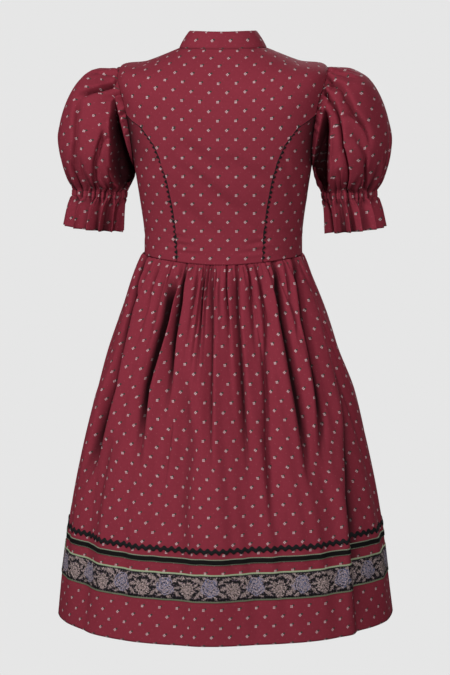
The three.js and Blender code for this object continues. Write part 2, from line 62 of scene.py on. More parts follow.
for lamp in LAMPS:
    light = bpy.data.lights.new(lamp["name"], "AREA")
    light.energy = lamp["watts"]
    light.size = lamp["size"]
    stand = bpy.data.objects.new(lamp["name"], light)
    stand.location = lamp["at"]
    away = np.array(lamp["at"]) - np.array((0, 0, -0.5))
    flat = np.hypot(away[0], away[1])
    stand.rotation_euler = (np.arctan2(flat, away[2]), 0, np.arctan2(away[0], -away[1]))
    bpy.context.collection.objects.link(stand)


def glow_for_camera(tree, surface, seen, lit):
    """An even glow, brighter to the eye than in the light that it throws on the cloth."""
    path = tree.nodes.new("ShaderNodeLightPath")
    strength = tree.nodes.new("ShaderNodeMapRange")
    strength.inputs["To Min"].default_value = lit
    strength.inputs["To Max"].default_value = seen
    tree.links.new(path.outputs["Is Camera Ray"], strength.inputs["Value"])
    tree.links.new(strength.outputs["Result"], surface.inputs["Strength"])
    surface.inputs["Color"].default_value = BACKDROP


room = bpy.data.worlds.new("room")
room.use_nodes = True
glow_for_camera(room.node_tree, room.node_tree.nodes["Background"], 1.0, 0.11)
bpy.context.scene.world = room

floor_mesh = bpy.data.meshes.new("floor")
corners = [(-30, -30), (30, -30), (30, 30), (-30, 30)]
floor_mesh.from_pydata([(x, y, FLOOR_HEIGHT) for x, y in corners], [], [(0, 1, 2, 3)])
floor = bpy.data.objects.new("floor", floor_mesh)
bpy.context.collection.objects.link(floor)
floor_paint = bpy.data.materials.new("pale_floor")
floor_paint.use_nodes = True
floor_tree = floor_paint.node_tree
floor_tree.nodes.clear()
floor_glow = floor_tree.nodes.new("ShaderNodeEmission")
glow_for_camera(floor_tree, floor_glow, 1.0, 0.12)
floor_out = floor_tree.nodes.new("ShaderNodeOutputMaterial")
floor_tree.links.new(floor_glow.outputs[0], floor_out.inputs["Surface"])
floor_mesh.materials.append(floor_paint)

# ---- Back panel
# One large piece of printed cotton from the collar seam to the waist, over the shoulders to their
# seams and cut away at the sides for the curved princess seams. The dress form under it gives its shape.
FIGURE_COLUMNS = ("half", "back", "front", "side_height", "back_height", "front_height", "power")
FIGURE = np.array([
    (0.081, 0.056, 0.058, 0.000, -0.003, -0.062, 2.2),  # neck seam
    (0.138, 0.089, 0.092, -0.022, -0.048, -0.104, 2.6),  # mid shoulder
    (0.191, 0.109, 0.118, -0.035, -0.102, -0.150, 3.0),  # shoulder point
    (0.182, 0.115, 0.137, -0.107, -0.154, -0.195, 3.0),  # mid armhole
    (0.164, 0.111, 0.142, -0.213, -0.221, -0.238, 2.7),  # underarm
    (0.153, 0.099, 0.121, -0.288, -0.296, -0.303, 2.4),  # midriff
    (0.1475, 0.094, 0.108, -0.332, -0.345, -0.344, 2.3),  # high waist
    (0.147, 0.095, 0.104, -0.377, -0.391, -0.385, 2.2),  # waist seam
])
LEVEL_FALL = 1.2
ARMHOLE_BACK, ARMHOLE_FRONT, ARMHOLE_POWER = 19.5, 20.5, 2.4
SHOULDER_POINT, ARMHOLE_MID, UNDERARM, WAIST = 2, 3, 4, 7
BACK_PRINCESS = np.array([
    (3, 19.5), (3.17, 32.5), (3.5, 39.8), (3.87, 43.4), (4.3, 45.2), (5, 45.6), (6, 45.8), (7, 46.7),
])
FRONT_PRINCESS = np.array([(3, 20.5), (3.2, 35), (3.5, 45), (4, 52), (5, 54.5), (7, 56)])
COTTON = 0.0008  # thickness of the bodice cloth
SEAM_GAP = 0.00015
FLATTEN_ROUNDS, FLATTEN_PULL = 220, 1.6

# Soft creases of the bodice back: ends on the body as x and height, then how wide and how deep.
BACK_CREASES = [
    (0.078, -0.165, -0.020, -0.232, 0.015, 0.0032),
    (0.085, -0.205, 0.005, -0.255, 0.012, 0.0022),
    (0.045, -0.240, -0.060, -0.312, 0.015, 0.0034),
    (0.000, -0.190, -0.085, -0.240, 0.013, 0.0024),
    (0.080, -0.275, 0.000, -0.345, 0.013, 0.0024),
    (-0.020, -0.300, -0.088, -0.338, 0.009, 0.0016),
    (0.095, -0.352, 0.045, -0.359, 0.0045, 0.0019),
    (0.100, -0.366, 0.030, -0.373, 0.004, 0.0015),
    (0.092, -0.337, 0.062, -0.343, 0.004, 0.0013),
    (-0.096, -0.345, -0.045, -0.356, 0.0045, 0.0019),
    (-0.092, -0.362, -0.030, -0.371, 0.004, 0.0016),
    (-0.094, -0.330, -0.066, -0.338, 0.004, 0.0012),
    (0.128, -0.180, 0.146, -0.215, 0.006, 0.0020),
    (0.110, -0.190, 0.122, -0.235, 0.007, 0.0016),
    (0.128, -0.330, 0.148, -0.350, 0.006, 0.0014),
    (-0.125, -0.235, -0.140, -0.290, 0.008, 0.0020),
    (-0.112, -0.185, -0.126, -0.230, 0.007, 0.0018),
    (-0.118, -0.325, -0.146, -0.350, 0.006, 0.0014),
]


def smooth_table(keys, values, x):
    """Value at x on a smooth curve through a table's rows."""
    slopes = np.gradient(values, keys)
    i = np.clip(np.searchsorted(keys, x, side="right") - 1, 0, len(keys) - 2)
    step = keys[i + 1] - keys[i]
    t = (x - keys[i]) / step
    curve = values[i] * (2 * t**3 - 3 * t**2 + 1) + values[i + 1] * (3 * t**2 - 2 * t**3)
    return curve + step * (slopes[i] * (t**3 - 2 * t**2 + t) + slopes[i + 1] * (t**3 - t**2))


def ring_radius(angle, half, depth, power):
    """Distance from the mid axis to a rounded ring, at an angle in degrees from the left side."""
    across = np.abs(np.cos(np.radians(angle))) / half
    along = np.abs(np.sin(np.radians(angle))) / depth
    return (across**power + along**power) ** (-1 / power)


def ring_place(row, angle):
    """Radius and height of a ring of the dress form at an angle, from one row of its table."""
    sine = np.sin(np.radians(angle))
    depth = np.where(sine >= 0, row["back"], row["front"])
    centre = np.where(sine >= 0, row["back_height"], row["front_height"])
    radius = ring_radius(angle, row["half"], depth, row["power"])
    return radius, row["side_height"] + (centre - row["side_height"]) * np.abs(sine) ** LEVEL_FALL


def around_axis(radius, angle, height):
    return np.stack([radius * np.cos(np.radians(angle)), radius * np.sin(np.radians(angle)), height], -1)


def figure(angle, level):
    """Point of the dress form at an angle and a level."""
    angle, level = np.broadcast_arrays(np.asarray(angle, float), np.asarray(level, float))
    keys = np.arange(len(FIGURE), dtype=float)
    row = {name: smooth_table(keys, FIGURE[:, i], level) for i, name in enumerate(FIGURE_COLUMNS)}
    radius, height = ring_place(row, angle)
    return around_axis(radius, angle, height)


def figure_normal(angle, level):
    down = figure(angle, np.minimum(level + 0.01, WAIST)) - figure(angle, np.maximum(level - 0.01, 0))
    round_ = figure(angle + 0.4, level) - figure(angle - 0.4, level)
    normal = np.cross(down, round_)
    return normal / np.linalg.norm(normal, axis=-1, keepdims=True)


def armhole_angle(level, depth):
    share = np.minimum(np.abs(level - ARMHOLE_MID) / (UNDERARM - ARMHOLE_MID), 1)
    return depth * (1 - share**ARMHOLE_POWER) ** (1 / ARMHOLE_POWER)


def centre_edge(level, armhole, princess):
    """Side edge of the centre panels: shoulder seam, then armhole, then princess seam."""
    seam = np.interp(level, princess[:, 0], princess[:, 1])
    edge = np.where(level <= ARMHOLE_MID, armhole_angle(level, armhole), seam)
    return np.where(level <= SHOULDER_POINT, 0, edge)


def crease_relief(points, creases):
    """How far soft creases press the cloth in, for points on the side that they lie on."""
    relief = np.zeros(points.shape[:-1])
    for x0, z0, x1, z1, width, depth in creases:
        run = np.array((x1 - x0, z1 - z0))
        length = np.hypot(*run)
        dx, dz = points[..., 0] - x0, points[..., 2] - z0
        along = (dx * run[0] + dz * run[1]) / length**2
        off = (dx * run[1] - dz * run[0]) / length
        fade = np.exp(-(((along - 0.5) / 0.42) ** 4))
        ridge = 0.6 * np.exp(-(((off - 1.5 * width) / width) ** 2))
        relief += depth * fade * (ridge - np.exp(-((off / width) ** 2)))
    return relief


def flatten(points, start):
    """Lay a grid of cloth flat with little stretching, from a first guess of its flat places."""
    flat = start.copy()
    high, wide = points.shape[:2]
    links = []
    for rows, columns in ((0, 1), (1, 0), (1, 1), (1, -1)):
        a = (slice(0, high - rows), slice(max(-columns, 0), wide - max(columns, 0)))
        b = (slice(rows, None), slice(max(columns, 0), wide + min(columns, 0)))
        links.append((a, b, np.linalg.norm(points[b] - points[a], axis=-1)))
    for _ in range(FLATTEN_ROUNDS):
        move = np.zeros_like(flat)
        count = np.zeros(flat.shape[:-1])
        for a, b, rest in links:
            run = flat[b] - flat[a]
            length = np.maximum(np.linalg.norm(run, axis=-1), 1e-9)
            pull = run * (0.5 * (1 - rest / length))[..., None]
            move[a] += pull
            move[b] -= pull
            count[a] += 1
            count[b] += 1
        flat += FLATTEN_PULL * move / count[..., None]
    return flat


def cloth_piece(name, outside, inside, cloth, finish, closed=False, tuck_and_painted_shade=None):
    """A closed shell between two grids of points. cloth gives each place on the flat cloth in metres,
    with one column more than the points where the piece closes round on itself. The last argument is the
    painted shade at each point, from 0 to 1, kept as an attribute that darkens the cloth's colour."""
    rows, columns = outside.shape[:2]
    spans = columns if closed else columns - 1
    r, c = np.meshgrid(np.arange(rows - 1), np.arange(spans), indexing="ij")
    n = (c + 1) % columns
    wide = cloth.shape[1]

    def sides(base):
        corner = [r * columns + c, (r + 1) * columns + c, (r + 1) * columns + n, r * columns + n]
        return np.stack(corner, -1).reshape(-1, 4) + base

    print_corner = [r * wide + c, (r + 1) * wide + c, (r + 1) * wide + c + 1, r * wide + c + 1]
    print_faces = np.stack(print_corner, -1).reshape(-1, 4)
    total = rows * columns
    faces = [sides(0), sides(total)[:, ::-1]]
    prints = [print_faces, print_faces[:, ::-1]]
    i = np.arange(spans)
    m = (i + 1) % columns
    for row, first, second in ((0, total, 0), (rows - 1, 0, total)):
        at = row * columns
        faces.append(np.stack([first + at + i, second + at + i, second + at + m, first + at + m], -1))
        at = row * wide
        prints.append(np.stack([at + i, at + i, at + i + 1, at + i + 1], -1))
    if not closed:
        j = np.arange(rows - 1)
        for column, first, second in ((0, 0, total), (columns - 1, total, 0)):
            a, b = j * columns + column, (j + 1) * columns + column
            faces.append(np.stack([first + a, second + a, second + b, first + b], -1))
            a, b = j * wide + column, (j + 1) * wide + column
            prints.append(np.stack([a, a, b, b], -1))
    mesh = bpy.data.meshes.new(f"{name}_cloth")
    points = np.concatenate([outside.reshape(-1, 3), inside.reshape(-1, 3)])
    mesh.from_pydata(points.tolist(), [], np.concatenate(faces).tolist())
    layer = mesh.uv_layers.new(name="Cloth")
    layer.data.foreach_set("uv", cloth.reshape(-1, 2)[np.concatenate(prints).ravel()].ravel())
    mesh.polygons.foreach_set("use_smooth", np.ones(len(mesh.polygons), bool))
    if tuck_and_painted_shade is not None:
        depth = mesh.attributes.new("PaintedShade", "FLOAT", "POINT")
        depth.data.foreach_set("value", np.tile(tuck_and_painted_shade.ravel(), 2).astype(np.float32))
    mesh.materials.append(finish)
    mesh.update()
    piece = bpy.data.objects.new(f"{name}_cloth", mesh)
    bpy.context.collection.objects.link(piece)
    return piece


class Field:
    """A value that changes over the cloth. Arithmetic on it adds Math nodes to its tree."""

    def __init__(self, tree, socket):
        self.tree, self.socket = tree, socket

    def sum_of(self, operation, *others):
        node = self.tree.nodes.new("ShaderNodeMath")
        node.operation = operation
        for socket, value in zip(node.inputs, (self, *others)):
            if isinstance(value, Field):
                self.tree.links.new(value.socket, socket)
            else:
                socket.default_value = value
        return Field(self.tree, node.outputs[0])

    def worked(operation):
        return lambda self, *others: self.sum_of(operation, *others)

    __add__, __sub__ = worked("ADD"), worked("SUBTRACT")
    __mul__, __truediv__ = worked("MULTIPLY"), worked("DIVIDE")
    __abs__, sine = worked("ABSOLUTE"), worked("SINE")
    least, most = worked("MINIMUM"), worked("MAXIMUM")

    def from_repeat(self, pitch, start=0.0):
        """Signed distance from the nearest of the places start, start + pitch and so on."""
        turn = (self - start) / pitch + 0.5
        return (turn.sum_of("FRACT") - 0.5) * pitch

    def distance(self, other):
        return (self * self + other * other).sum_of("SQRT")

    def within(self, size, edge):
        """One where the value is under size, falling to nought over edge."""
        return ((self * -1 + size) / edge + 0.5).least(1.0).most(0.0)


def noise(tree, vector, scale, detail=2.0):
    """Soft unevenness from 0 to 1."""
    node = tree.nodes.new("ShaderNodeTexNoise")
    node.inputs["Scale"].default_value = scale
    node.inputs["Detail"].default_value = detail
    tree.links.new(vector, node.inputs["Vector"])
    return node.outputs["Fac"]


def node_group(name, takes, gives):
    tree = bpy.data.node_groups.new(name, "ShaderNodeTree")
    for socket_name, kind in takes:
        tree.interface.new_socket(name=socket_name, in_out="INPUT", socket_type=kind)
    for socket_name, kind in gives:
        tree.interface.new_socket(name=socket_name, in_out="OUTPUT", socket_type=kind)
    start = tree.nodes.new("NodeGroupInput")
    end = tree.nodes.new("NodeGroupOutput")
    return tree, start, end


def cloth_axes(tree, vector):
    """Places across and up the cloth in millimetres."""
    split = tree.nodes.new("ShaderNodeSeparateXYZ")
    tree.links.new(vector, split.inputs[0])
    return Field(tree, split.outputs["X"]) * 1000.0, Field(tree, split.outputs["Y"]) * 1000.0


# The print: small four-petal motifs in rows, upright and turned by half in every other row, each with a
# leaf at its upper right, and faint specks between them.
PITCH_ACROSS, PITCH_UP = 32.0, 33.0
print_tree, print_in, print_out = node_group(
    "flower print",
    [("Cloth", "NodeSocketVector")],
    [("Petals", "NodeSocketFloat"), ("Leaves", "NodeSocketFloat"), ("Specks", "NodeSocketFloat")],
)
across, up = cloth_axes(print_tree, print_in.outputs["Cloth"])
petals = leaves = None
for shift, petal_x, petal_y in ((0.5, 1.65, 0.0), (0.0, 1.17, 1.17)):
    x = across.from_repeat(PITCH_ACROSS, shift * PITCH_ACROSS)
    y = up.from_repeat(PITCH_UP, shift * PITCH_UP)
    petal = (abs(x) - petal_x).distance(abs(y) - petal_y)
    if not petal_y:
        petal = petal.least(abs(x).distance(abs(y) - petal_x))
    petal = petal.within(1.0, 0.4)
    leaf = ((x - 3.1) * 0.8).distance(y - 2.3).within(1.7, 0.5)
    petals = petal if petals is None else petals.most(petal)
    leaves = leaf if leaves is None else leaves.most(leaf)
speck_x = across.from_repeat(PITCH_ACROSS / 2, PITCH_ACROSS / 4)
speck_y = up.from_repeat(PITCH_UP / 2, PITCH_UP / 4)
specks = speck_x.distance(speck_y).within(0.75, 0.5)
for label, value in (("Petals", petals), ("Leaves", leaves), ("Specks", specks)):
    print_tree.links.new(value.socket, print_out.inputs[label])

# Plain weave: threads over and under each other, with thicker and thinner ones, and a soft unevenness.
weave_tree, weave_in, weave_out = node_group(
    "plain weave",
    [("Cloth", "NodeSocketVector"), ("Threads per mm", "NodeSocketFloat")],
    [("Height", "NodeSocketFloat"), ("Shade", "NodeSocketFloat")],
)
across, up = cloth_axes(weave_tree, weave_in.outputs["Cloth"])
threads = Field(weave_tree, weave_in.outputs["Threads per mm"])
turn = threads * np.pi
over = (across * turn).sine() * (up * turn).sine()
slub = Field(weave_tree, noise(weave_tree, weave_in.outputs["Cloth"], 260.0, 3.0))
blot = Field(weave_tree, noise(weave_tree, weave_in.outputs["Cloth"], 34.0))
shade = slub * 0.6 + blot * 0.4 + over * 0.06
weave_tree.links.new((over * 0.5 + slub).socket, weave_out.inputs["Height"])
weave_tree.links.new(shade.socket, weave_out.inputs["Shade"])


def shader(name, roughness, sheen=0.0):
    """A new material with its Principled shader, and the piece's own cloth places."""
    finish = bpy.data.materials.new(name)
    finish.use_nodes = True
    tree = finish.node_tree
    bsdf = tree.nodes["Principled BSDF"]
    bsdf.inputs["Roughness"].default_value = roughness
    bsdf.inputs["Sheen Weight"].default_value = sheen
    bsdf.inputs["Specular IOR Level"].default_value = 0.13
    places = tree.nodes.new("ShaderNodeUVMap")
    places.uv_map = "Cloth"
    return finish, tree, bsdf, places.outputs["UV"]


def placed_group(tree, group, vector, **values):
    node = tree.nodes.new("ShaderNodeGroup")
    node.node_tree = group
    tree.links.new(vector, node.inputs["Cloth"])
    for label, value in values.items():
        node.inputs[label.replace("_", " ")].default_value = value
    return node


def blend_colour(tree, share, first, second):
    mix = tree.nodes.new("ShaderNodeMix")
    mix.data_type = "RGBA"
    tree.links.new(share, mix.inputs[0])
    for value, socket in ((first, mix.inputs[6]), (second, mix.inputs[7])):
        if isinstance(value, bpy.types.NodeSocket):
            tree.links.new(value, socket)
        else:
            socket.default_value = (*value, 1)
    return mix.outputs[2]


def add_bump(tree, bsdf, height, distance, strength=1.0):
    bump = tree.nodes.new("ShaderNodeBump")
    bump.inputs["Distance"].default_value = distance
    bump.inputs["Strength"].default_value = strength
    tree.links.new(height, bump.inputs["Height"])
    tree.links.new(bump.outputs["Normal"], bsdf.inputs["Normal"])


BURGUNDY_DARK, BURGUNDY_LIGHT = (0.164, 0.0168, 0.0288), (0.233, 0.0270, 0.0460)
PETAL_PINK, LEAF_GREEN, SPECK = (0.48, 0.36, 0.37), (0.040, 0.038, 0.033), (0.26, 0.05, 0.07)
PAINTED_FOLD_SHADE = (0.012, 0.0025, 0.0035)  # painted shade: a near-black that stands in for the shadow deep in the folds
printed_cotton, tree, bsdf, places = shader("printed_cotton", 0.9)
weave = placed_group(tree, weave_tree, places, Threads_per_mm=1.5)
flowers = placed_group(tree, print_tree, places)
colour = blend_colour(tree, weave.outputs["Shade"], BURGUNDY_DARK, BURGUNDY_LIGHT)
colour = blend_colour(tree, flowers.outputs["Specks"], colour, SPECK)
colour = blend_colour(tree, flowers.outputs["Leaves"], colour, LEAF_GREEN)
colour = blend_colour(tree, flowers.outputs["Petals"], colour, PETAL_PINK)
# Painted shade: the colour darkens to near-black where the piece's painted shade attribute says, in place of
# the shadow in folds, at seams and under the arms.
tuck_and_painted_shade = tree.nodes.new("ShaderNodeAttribute")
tuck_and_painted_shade.attribute_name = "PaintedShade"
colour = blend_colour(tree, tuck_and_painted_shade.outputs["Fac"], colour, PAINTED_FOLD_SHADE)
tree.links.new(colour, bsdf.inputs["Base Color"])
add_bump(tree, bsdf, weave.outputs["Height"], 0.00018, 0.6)


SEAM_ROLL, SEAM_LINE, SEAM_DIP = 0.0035, 0.0012, 0.0004  # how the cloth rolls in to a seam
ARM_SHADE = ((0.60, 0.020, 1.4), (0.38, 0.044, 2))  # share, reach and power of the painted shade by the arm
CLIMB_SHARE = 0.35  # how far a panel's first flat guess follows its middle up the back, not its height


def seam_places(count):
    """Shares across a panel, closer together beside its two seams."""
    near = np.array((0.0, 0.004, 0.010, 0.018))
    return np.concatenate([near, np.linspace(0.03, 0.97, count), 1 - near[::-1]])


def panel(name, levels, edges, columns, creases=(), raised=(0.0, 0.0), lift=0.0, shaded=None):
    """A panel of the bodice, and its cut. edges gives its two angles at each level, raised how far each
    of its side seams stands up or tucks in, and shaded which of them, 0 or 1, lies under the arm, where
    the panel gets painted shade."""
    level = levels[:, None]
    low, high = edges(levels)
    trim = np.degrees(SEAM_GAP / np.linalg.norm(figure(low, levels)[:, :2], axis=-1))
    share = seam_places(columns)[None, :]
    angle = (low + trim)[:, None] * (1 - share) + (high - trim)[:, None] * share
    points = figure(angle, level)
    normal = figure_normal(angle, np.broadcast_to(level, angle.shape))
    step = np.linalg.norm(np.diff(points, axis=1), axis=-1)
    along = np.concatenate([np.zeros((len(levels), 1)), np.cumsum(step, axis=1)], axis=1)
    from_low, from_high = along, along[:, -1:] - along
    relief = crease_relief(points, creases) + lift
    for distance, rise in ((from_low, raised[0]), (from_high, raised[1])):
        relief = relief + rise * np.exp(-((distance / SEAM_ROLL) ** 2))
        relief = relief - SEAM_DIP * np.exp(-((distance / SEAM_LINE) ** 2))
    above_waist = points[..., 2] - points[-1:, :, 2]
    relief = relief + SEAM_DIP * np.exp(-((above_waist / 0.004) ** 2)) * (levels[-1] >= WAIST)
    outside = points + normal * relief[..., None]
    inside = outside - normal * COTTON
    down = np.linalg.norm(np.diff(points, axis=0), axis=-1)
    plan = np.linalg.norm(np.diff(points[..., :2], axis=1), axis=-1)
    middle = np.argmin(np.abs(seam_places(columns) - 0.5))
    wide = np.concatenate([np.zeros((len(levels), 1)), np.cumsum(plan, axis=1)], axis=1)
    climb = np.concatenate([np.cumsum(down[::-1, middle])[::-1], [0]])[:, None]
    high = (1 - CLIMB_SHARE) * points[..., 2] + CLIMB_SHARE * (points[-1:, :, 2] + climb)
    flat = flatten(points, np.stack([wide - wide[:, middle : middle + 1], high], -1))
    flat += np.array((0.0, points[-1, middle, 2])) - flat[-1, middle]
    tuck_and_painted_shade = None
    if shaded is not None:  # painted shade on the side piece near the arm, in place of the shadow under it
        from_arm = (from_low, from_high)[shaded]
        near_arm = sum(most * np.exp(-((from_arm / reach) ** power)) for most, reach, power in ARM_SHADE)
        tuck_and_painted_shade = near_arm * np.clip((UNDERARM + 0.7 - level) / 0.8, 0, 1)
    piece = cloth_piece(name, outside, inside, flat, printed_cotton, tuck_and_painted_shade=tuck_and_painted_shade)
    return piece, flat


def stand_for(piece, node):
    """Say what the piece stands for. All of the dress hangs on one body."""
    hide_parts(node)
    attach(piece, "root")


def declare(piece, node):
    """Say what the piece stands for."""
    stand_for(piece, node)


CENTRE_LEVELS = np.concatenate([
    np.linspace(0, 2, 34), 2 + np.linspace(0.004, 1, 30) ** 1.6, np.linspace(3.02, 7, 74),
])
SIDE_LEVELS = np.concatenate([3 + np.linspace(0.02, 1, 36) ** 1.3, np.linspace(4.04, 7, 56)])


def back_edges(levels):
    edge = centre_edge(levels, ARMHOLE_BACK, BACK_PRINCESS)
    return edge, 180 - edge


back_panel, back_cut = panel("back_panel", CENTRE_LEVELS, back_edges, 90, BACK_CREASES, (0.0006, 0.0006))
declare(back_panel, "back_panel")

# ---- Side-back and side-front panels, and the two fronts
# The narrower pieces of the same cotton. The side pieces run from the armhole to the waist, and their
# curved edges are tucked under the edges of the centre pieces at the princess seams.
FRONT_CREASES = [
    (0.070, -0.200, 0.015, -0.240, 0.014, 0.0012),
    (-0.080, -0.215, -0.020, -0.255, 0.014, 0.0012),
    (0.075, -0.300, 0.030, -0.330, 0.010, 0.0012),
    (-0.070, -0.320, -0.025, -0.345, 0.010, 0.0012),
    (0.060, -0.368, 0.030, -0.372, 0.004, 0.0008),
    (-0.066, -0.364, -0.036, -0.369, 0.004, 0.0008),
    (0.120, -0.270, 0.140, -0.310, 0.008, 0.0012),
    (-0.118, -0.300, -0.138, -0.335, 0.008, 0.0010),
]


def front_edges(levels):
    return np.full(levels.shape, -90.0), -centre_edge(levels, ARMHOLE_FRONT, FRONT_PRINCESS)


def side_back_edges(levels):
    return armhole_angle(levels, ARMHOLE_BACK), np.interp(levels, *BACK_PRINCESS.T)


def side_front_edges(levels):
    return -np.interp(levels, *FRONT_PRINCESS.T), -armhole_angle(levels, ARMHOLE_FRONT)


# Name, levels, edges on the left, the angle that turns them over to the right, columns, creases, how far
# the two seams stand up, and which of them lies under the arm.
SIDE_PANELS = [
    ("front_panel", CENTRE_LEVELS, front_edges, -180, 46, FRONT_CREASES, (0.0, 0.0006), None),
    ("side_back_panel", SIDE_LEVELS, side_back_edges, 180, 26, BACK_CREASES, (0.0, -0.0010), 0),
    ("side_front_panel", SIDE_LEVELS, side_front_edges, -180, 26, FRONT_CREASES, (-0.0010, 0.0), 1),
]
side_pieces = {}
for name, levels, edges, about, columns, creases, raised, shaded in SIDE_PANELS:

    def right_edges(levels, edges=edges, about=about):
        low, high = edges(levels)
        return about - high, about - low

    other = None if shaded is None else 1 - shaded
    left, right = f"{name}_left", f"{name}_right"
    side_pieces[left] = panel(left, levels, edges, columns, creases, raised, shaded=shaded)
    side_pieces[right] = panel(right, levels, right_edges, columns, creases, raised[::-1], shaded=other)

# ---- Narrow rickrack in the princess seams
# Black woven rickrack, caught in the seam by half its width, so that its scallops stand out on the
# side piece like a row of dashes.
black_braid, tree, bsdf, places = shader("black_braid", 0.8)
braid_weave = placed_group(tree, weave_tree, places, Threads_per_mm=1.1)
colour = blend_colour(tree, braid_weave.outputs["Shade"], (0.004, 0.004, 0.0045), (0.013, 0.0125, 0.014))
tree.links.new(colour, bsdf.inputs["Base Color"])
add_bump(tree, bsdf, braid_weave.outputs["Height"], 0.0003, 0.7)

SCALLOP_PITCH, SCALLOP_REACH = 0.0093, 0.0036
SCALLOP_NOTCH, SCALLOP_ROOT, SCALLOP_CROWN = 0.0010, 0.0018, 0.0009  # the root lies in the seam


def run_along(points):
    """Lengths from the first of a line of points to each of them."""
    return np.concatenate([[0], np.cumsum(np.linalg.norm(np.diff(points, axis=0), axis=-1))])


def seam_rickrack(name, princess, mirror, front):
    """A scalloped band along one princess seam, on the side panel's side of it."""
    fine = np.linspace(3.03, 6.99, 900)
    base = np.interp(fine, *princess.T)
    seam = figure(-base if front else base, fine)
    run = run_along(seam)
    place = np.arange(0, run[-1], SCALLOP_PITCH / 12)
    level = np.interp(place, run, fine)
    angle = np.interp(level, *princess.T)
    radius = np.linalg.norm(figure(angle, level)[:, :2], axis=-1)
    wave = 0.5 + 0.5 * np.sin(2 * np.pi * place / SCALLOP_PITCH)
    outer_edge = -SCALLOP_NOTCH + (SCALLOP_REACH + SCALLOP_NOTCH) * wave**0.9
    share = np.array((0.0, 0.35, 0.7, 1.0))
    across = -SCALLOP_ROOT + (outer_edge[:, None] + SCALLOP_ROOT) * share[None, :]
    at = angle[:, None] - np.degrees(across / radius[:, None])
    sign = -1 if front else 1
    points = figure(sign * at, level[:, None])
    normal = figure_normal(sign * at, np.broadcast_to(level[:, None], at.shape))
    crown = np.array((0.3, 1.0, 1.0, 0.35))[None, :, None] * SCALLOP_CROWN
    outside, inside = points + normal * (crown + 0.0001), points - normal * 0.0004
    if mirror:
        outside, inside = outside * (-1, 1, 1), inside * (-1, 1, 1)
    if mirror == front:
        outside, inside = outside[:, ::-1], inside[:, ::-1]
        across = across[:, ::-1]
    cloth = np.stack([across, np.broadcast_to(-place[:, None], across.shape)], -1)
    piece = cloth_piece(name, outside, inside, cloth, black_braid)
    stand_for(piece, name)
    return piece


for part, princess in (("back", BACK_PRINCESS), ("front", FRONT_PRINCESS)):
    for side in ("left", "right"):
        braid = seam_rickrack(f"{part}_seam_braid_{side}", princess, side == "right", part == "front")
# Each of these bands is too narrow to be cut as a sheet of its own, so it goes with its side piece.
for name, (piece, cut) in side_pieces.items():
    declare(piece, name)

# ---- Stand collar
# Two layers of the cotton, turned and sewn onto the neck edge. It leans in to the neck and stands
# open a little at the front.
COLLAR_SEAM = np.array((0.0812, 0.0562, 0.0582, -0.0008, -0.0048, -0.0626, 2.2))
COLLAR_TOP = np.array((0.0615, 0.045, 0.045, 0.0315, 0.028, -0.032, 2.1))
COLLAR_OPENING, COLLAR_BOW, COLLAR_THICK = 0.005, 0.0016, 0.0024

rise = np.concatenate([1 - np.linspace(0, 0.08, 4), np.linspace(0.88, 0.06, 16), [0.03, 0.0]])[:, None]
row = {name: COLLAR_SEAM[i] + (COLLAR_TOP[i] - COLLAR_SEAM[i]) * rise for i, name in enumerate(FIGURE_COLUMNS)}
gap = np.degrees(COLLAR_OPENING / 2 / row["front"])
share = np.linspace(0, 1, 150)[None, :]
angle = -90 + gap + (360 - 2 * gap) * share
radius, height = ring_place(row, angle)
sag = 0.0007 * np.sin(np.radians(angle * 5 + 30)) * rise
sag = sag + 0.0005 * np.sin(np.radians(angle * 9 + 70)) * (1 - rise)
tuck = 0.0012 * np.exp(-((rise / 0.035) ** 2))
radius = radius + COLLAR_BOW * 4 * rise * (1 - rise) + sag - tuck
edge_round = 0.0009 * np.exp(-(((1 - rise) / 0.03) ** 2))
outside = around_axis(radius - edge_round, angle, height)
inside = around_axis(radius - COLLAR_THICK + edge_round, angle, height)
step = np.linalg.norm(np.diff(outside, axis=1), axis=-1).mean(0)
wide = np.concatenate([[0], np.cumsum(step)])
at_back = share.size // 2
high = np.linalg.norm(outside[0, at_back] - outside[-1, at_back])
collar_cut = np.stack(np.broadcast_arrays(wide[None, :] - wide[-1] / 2, rise * high), -1)
# Painted shade along the collar's seam, in place of the shadow under its lower edge.
seam_shade = np.broadcast_to(0.85 * np.exp(-((rise / 0.05) ** 2)), angle.shape)
collar = cloth_piece("collar", outside, inside, collar_cut, printed_cotton, tuck_and_painted_shade=seam_shade)
collar_lines = [outside[3, 2:-2], outside[-4, 2:-2]]
declare(collar, "collar")

# ---- Front closure
# A doubled strip of the cotton over the two front edges, right over left, held by eight small sewn
# buttons with four holes.
PLACKET_WIDTH, PLACKET_LIFT = 0.024, 0.0021
BUTTON_RADIUS, BUTTON_SEAT = 0.0055, 0.0003
BUTTON_TURNS, HOLE_TURNS, HOLE_PLACE = 40, 8, 0.0011
BUTTON_LEVELS = (0.35, 1.3, 2.2, 3.15, 4.02, 4.8, 5.7, 6.7)


def placket_edges(levels, inset=0.0):
    """Angles of the strip's two edges, or of lines that lie inset from them."""
    half = np.degrees((PLACKET_WIDTH / 2 - inset) / np.linalg.norm(figure(-90, levels)[:, :2], axis=-1))
    return -90 - half, -90 + half


strip_levels = np.linspace(0.06, 6.98, 150)
placket, placket_cut = panel(
    "front_placket", strip_levels, placket_edges, 12, raised=(-0.0003, -0.0003), lift=PLACKET_LIFT,
)
declare(placket, "front_placket")

button_finish, tree, bsdf, places = shader("button", 0.38)
speckle = noise(tree, tree.nodes.new("ShaderNodeTexCoord").outputs["Object"], 900.0)
colour = blend_colour(tree, speckle, (0.075, 0.009, 0.016), (0.120, 0.016, 0.026))
tree.links.new(colour, bsdf.inputs["Base Color"])
bsdf.inputs["Coat Weight"].default_value = 0.25


def turned(radius, height, count, middle=(0.0, 0.0)):
    """A ring of points round an upright axis."""
    turns = 2 * np.pi * np.arange(count) / count
    return [(middle[0] + radius * np.cos(t), middle[1] + radius * np.sin(t), height) for t in turns]


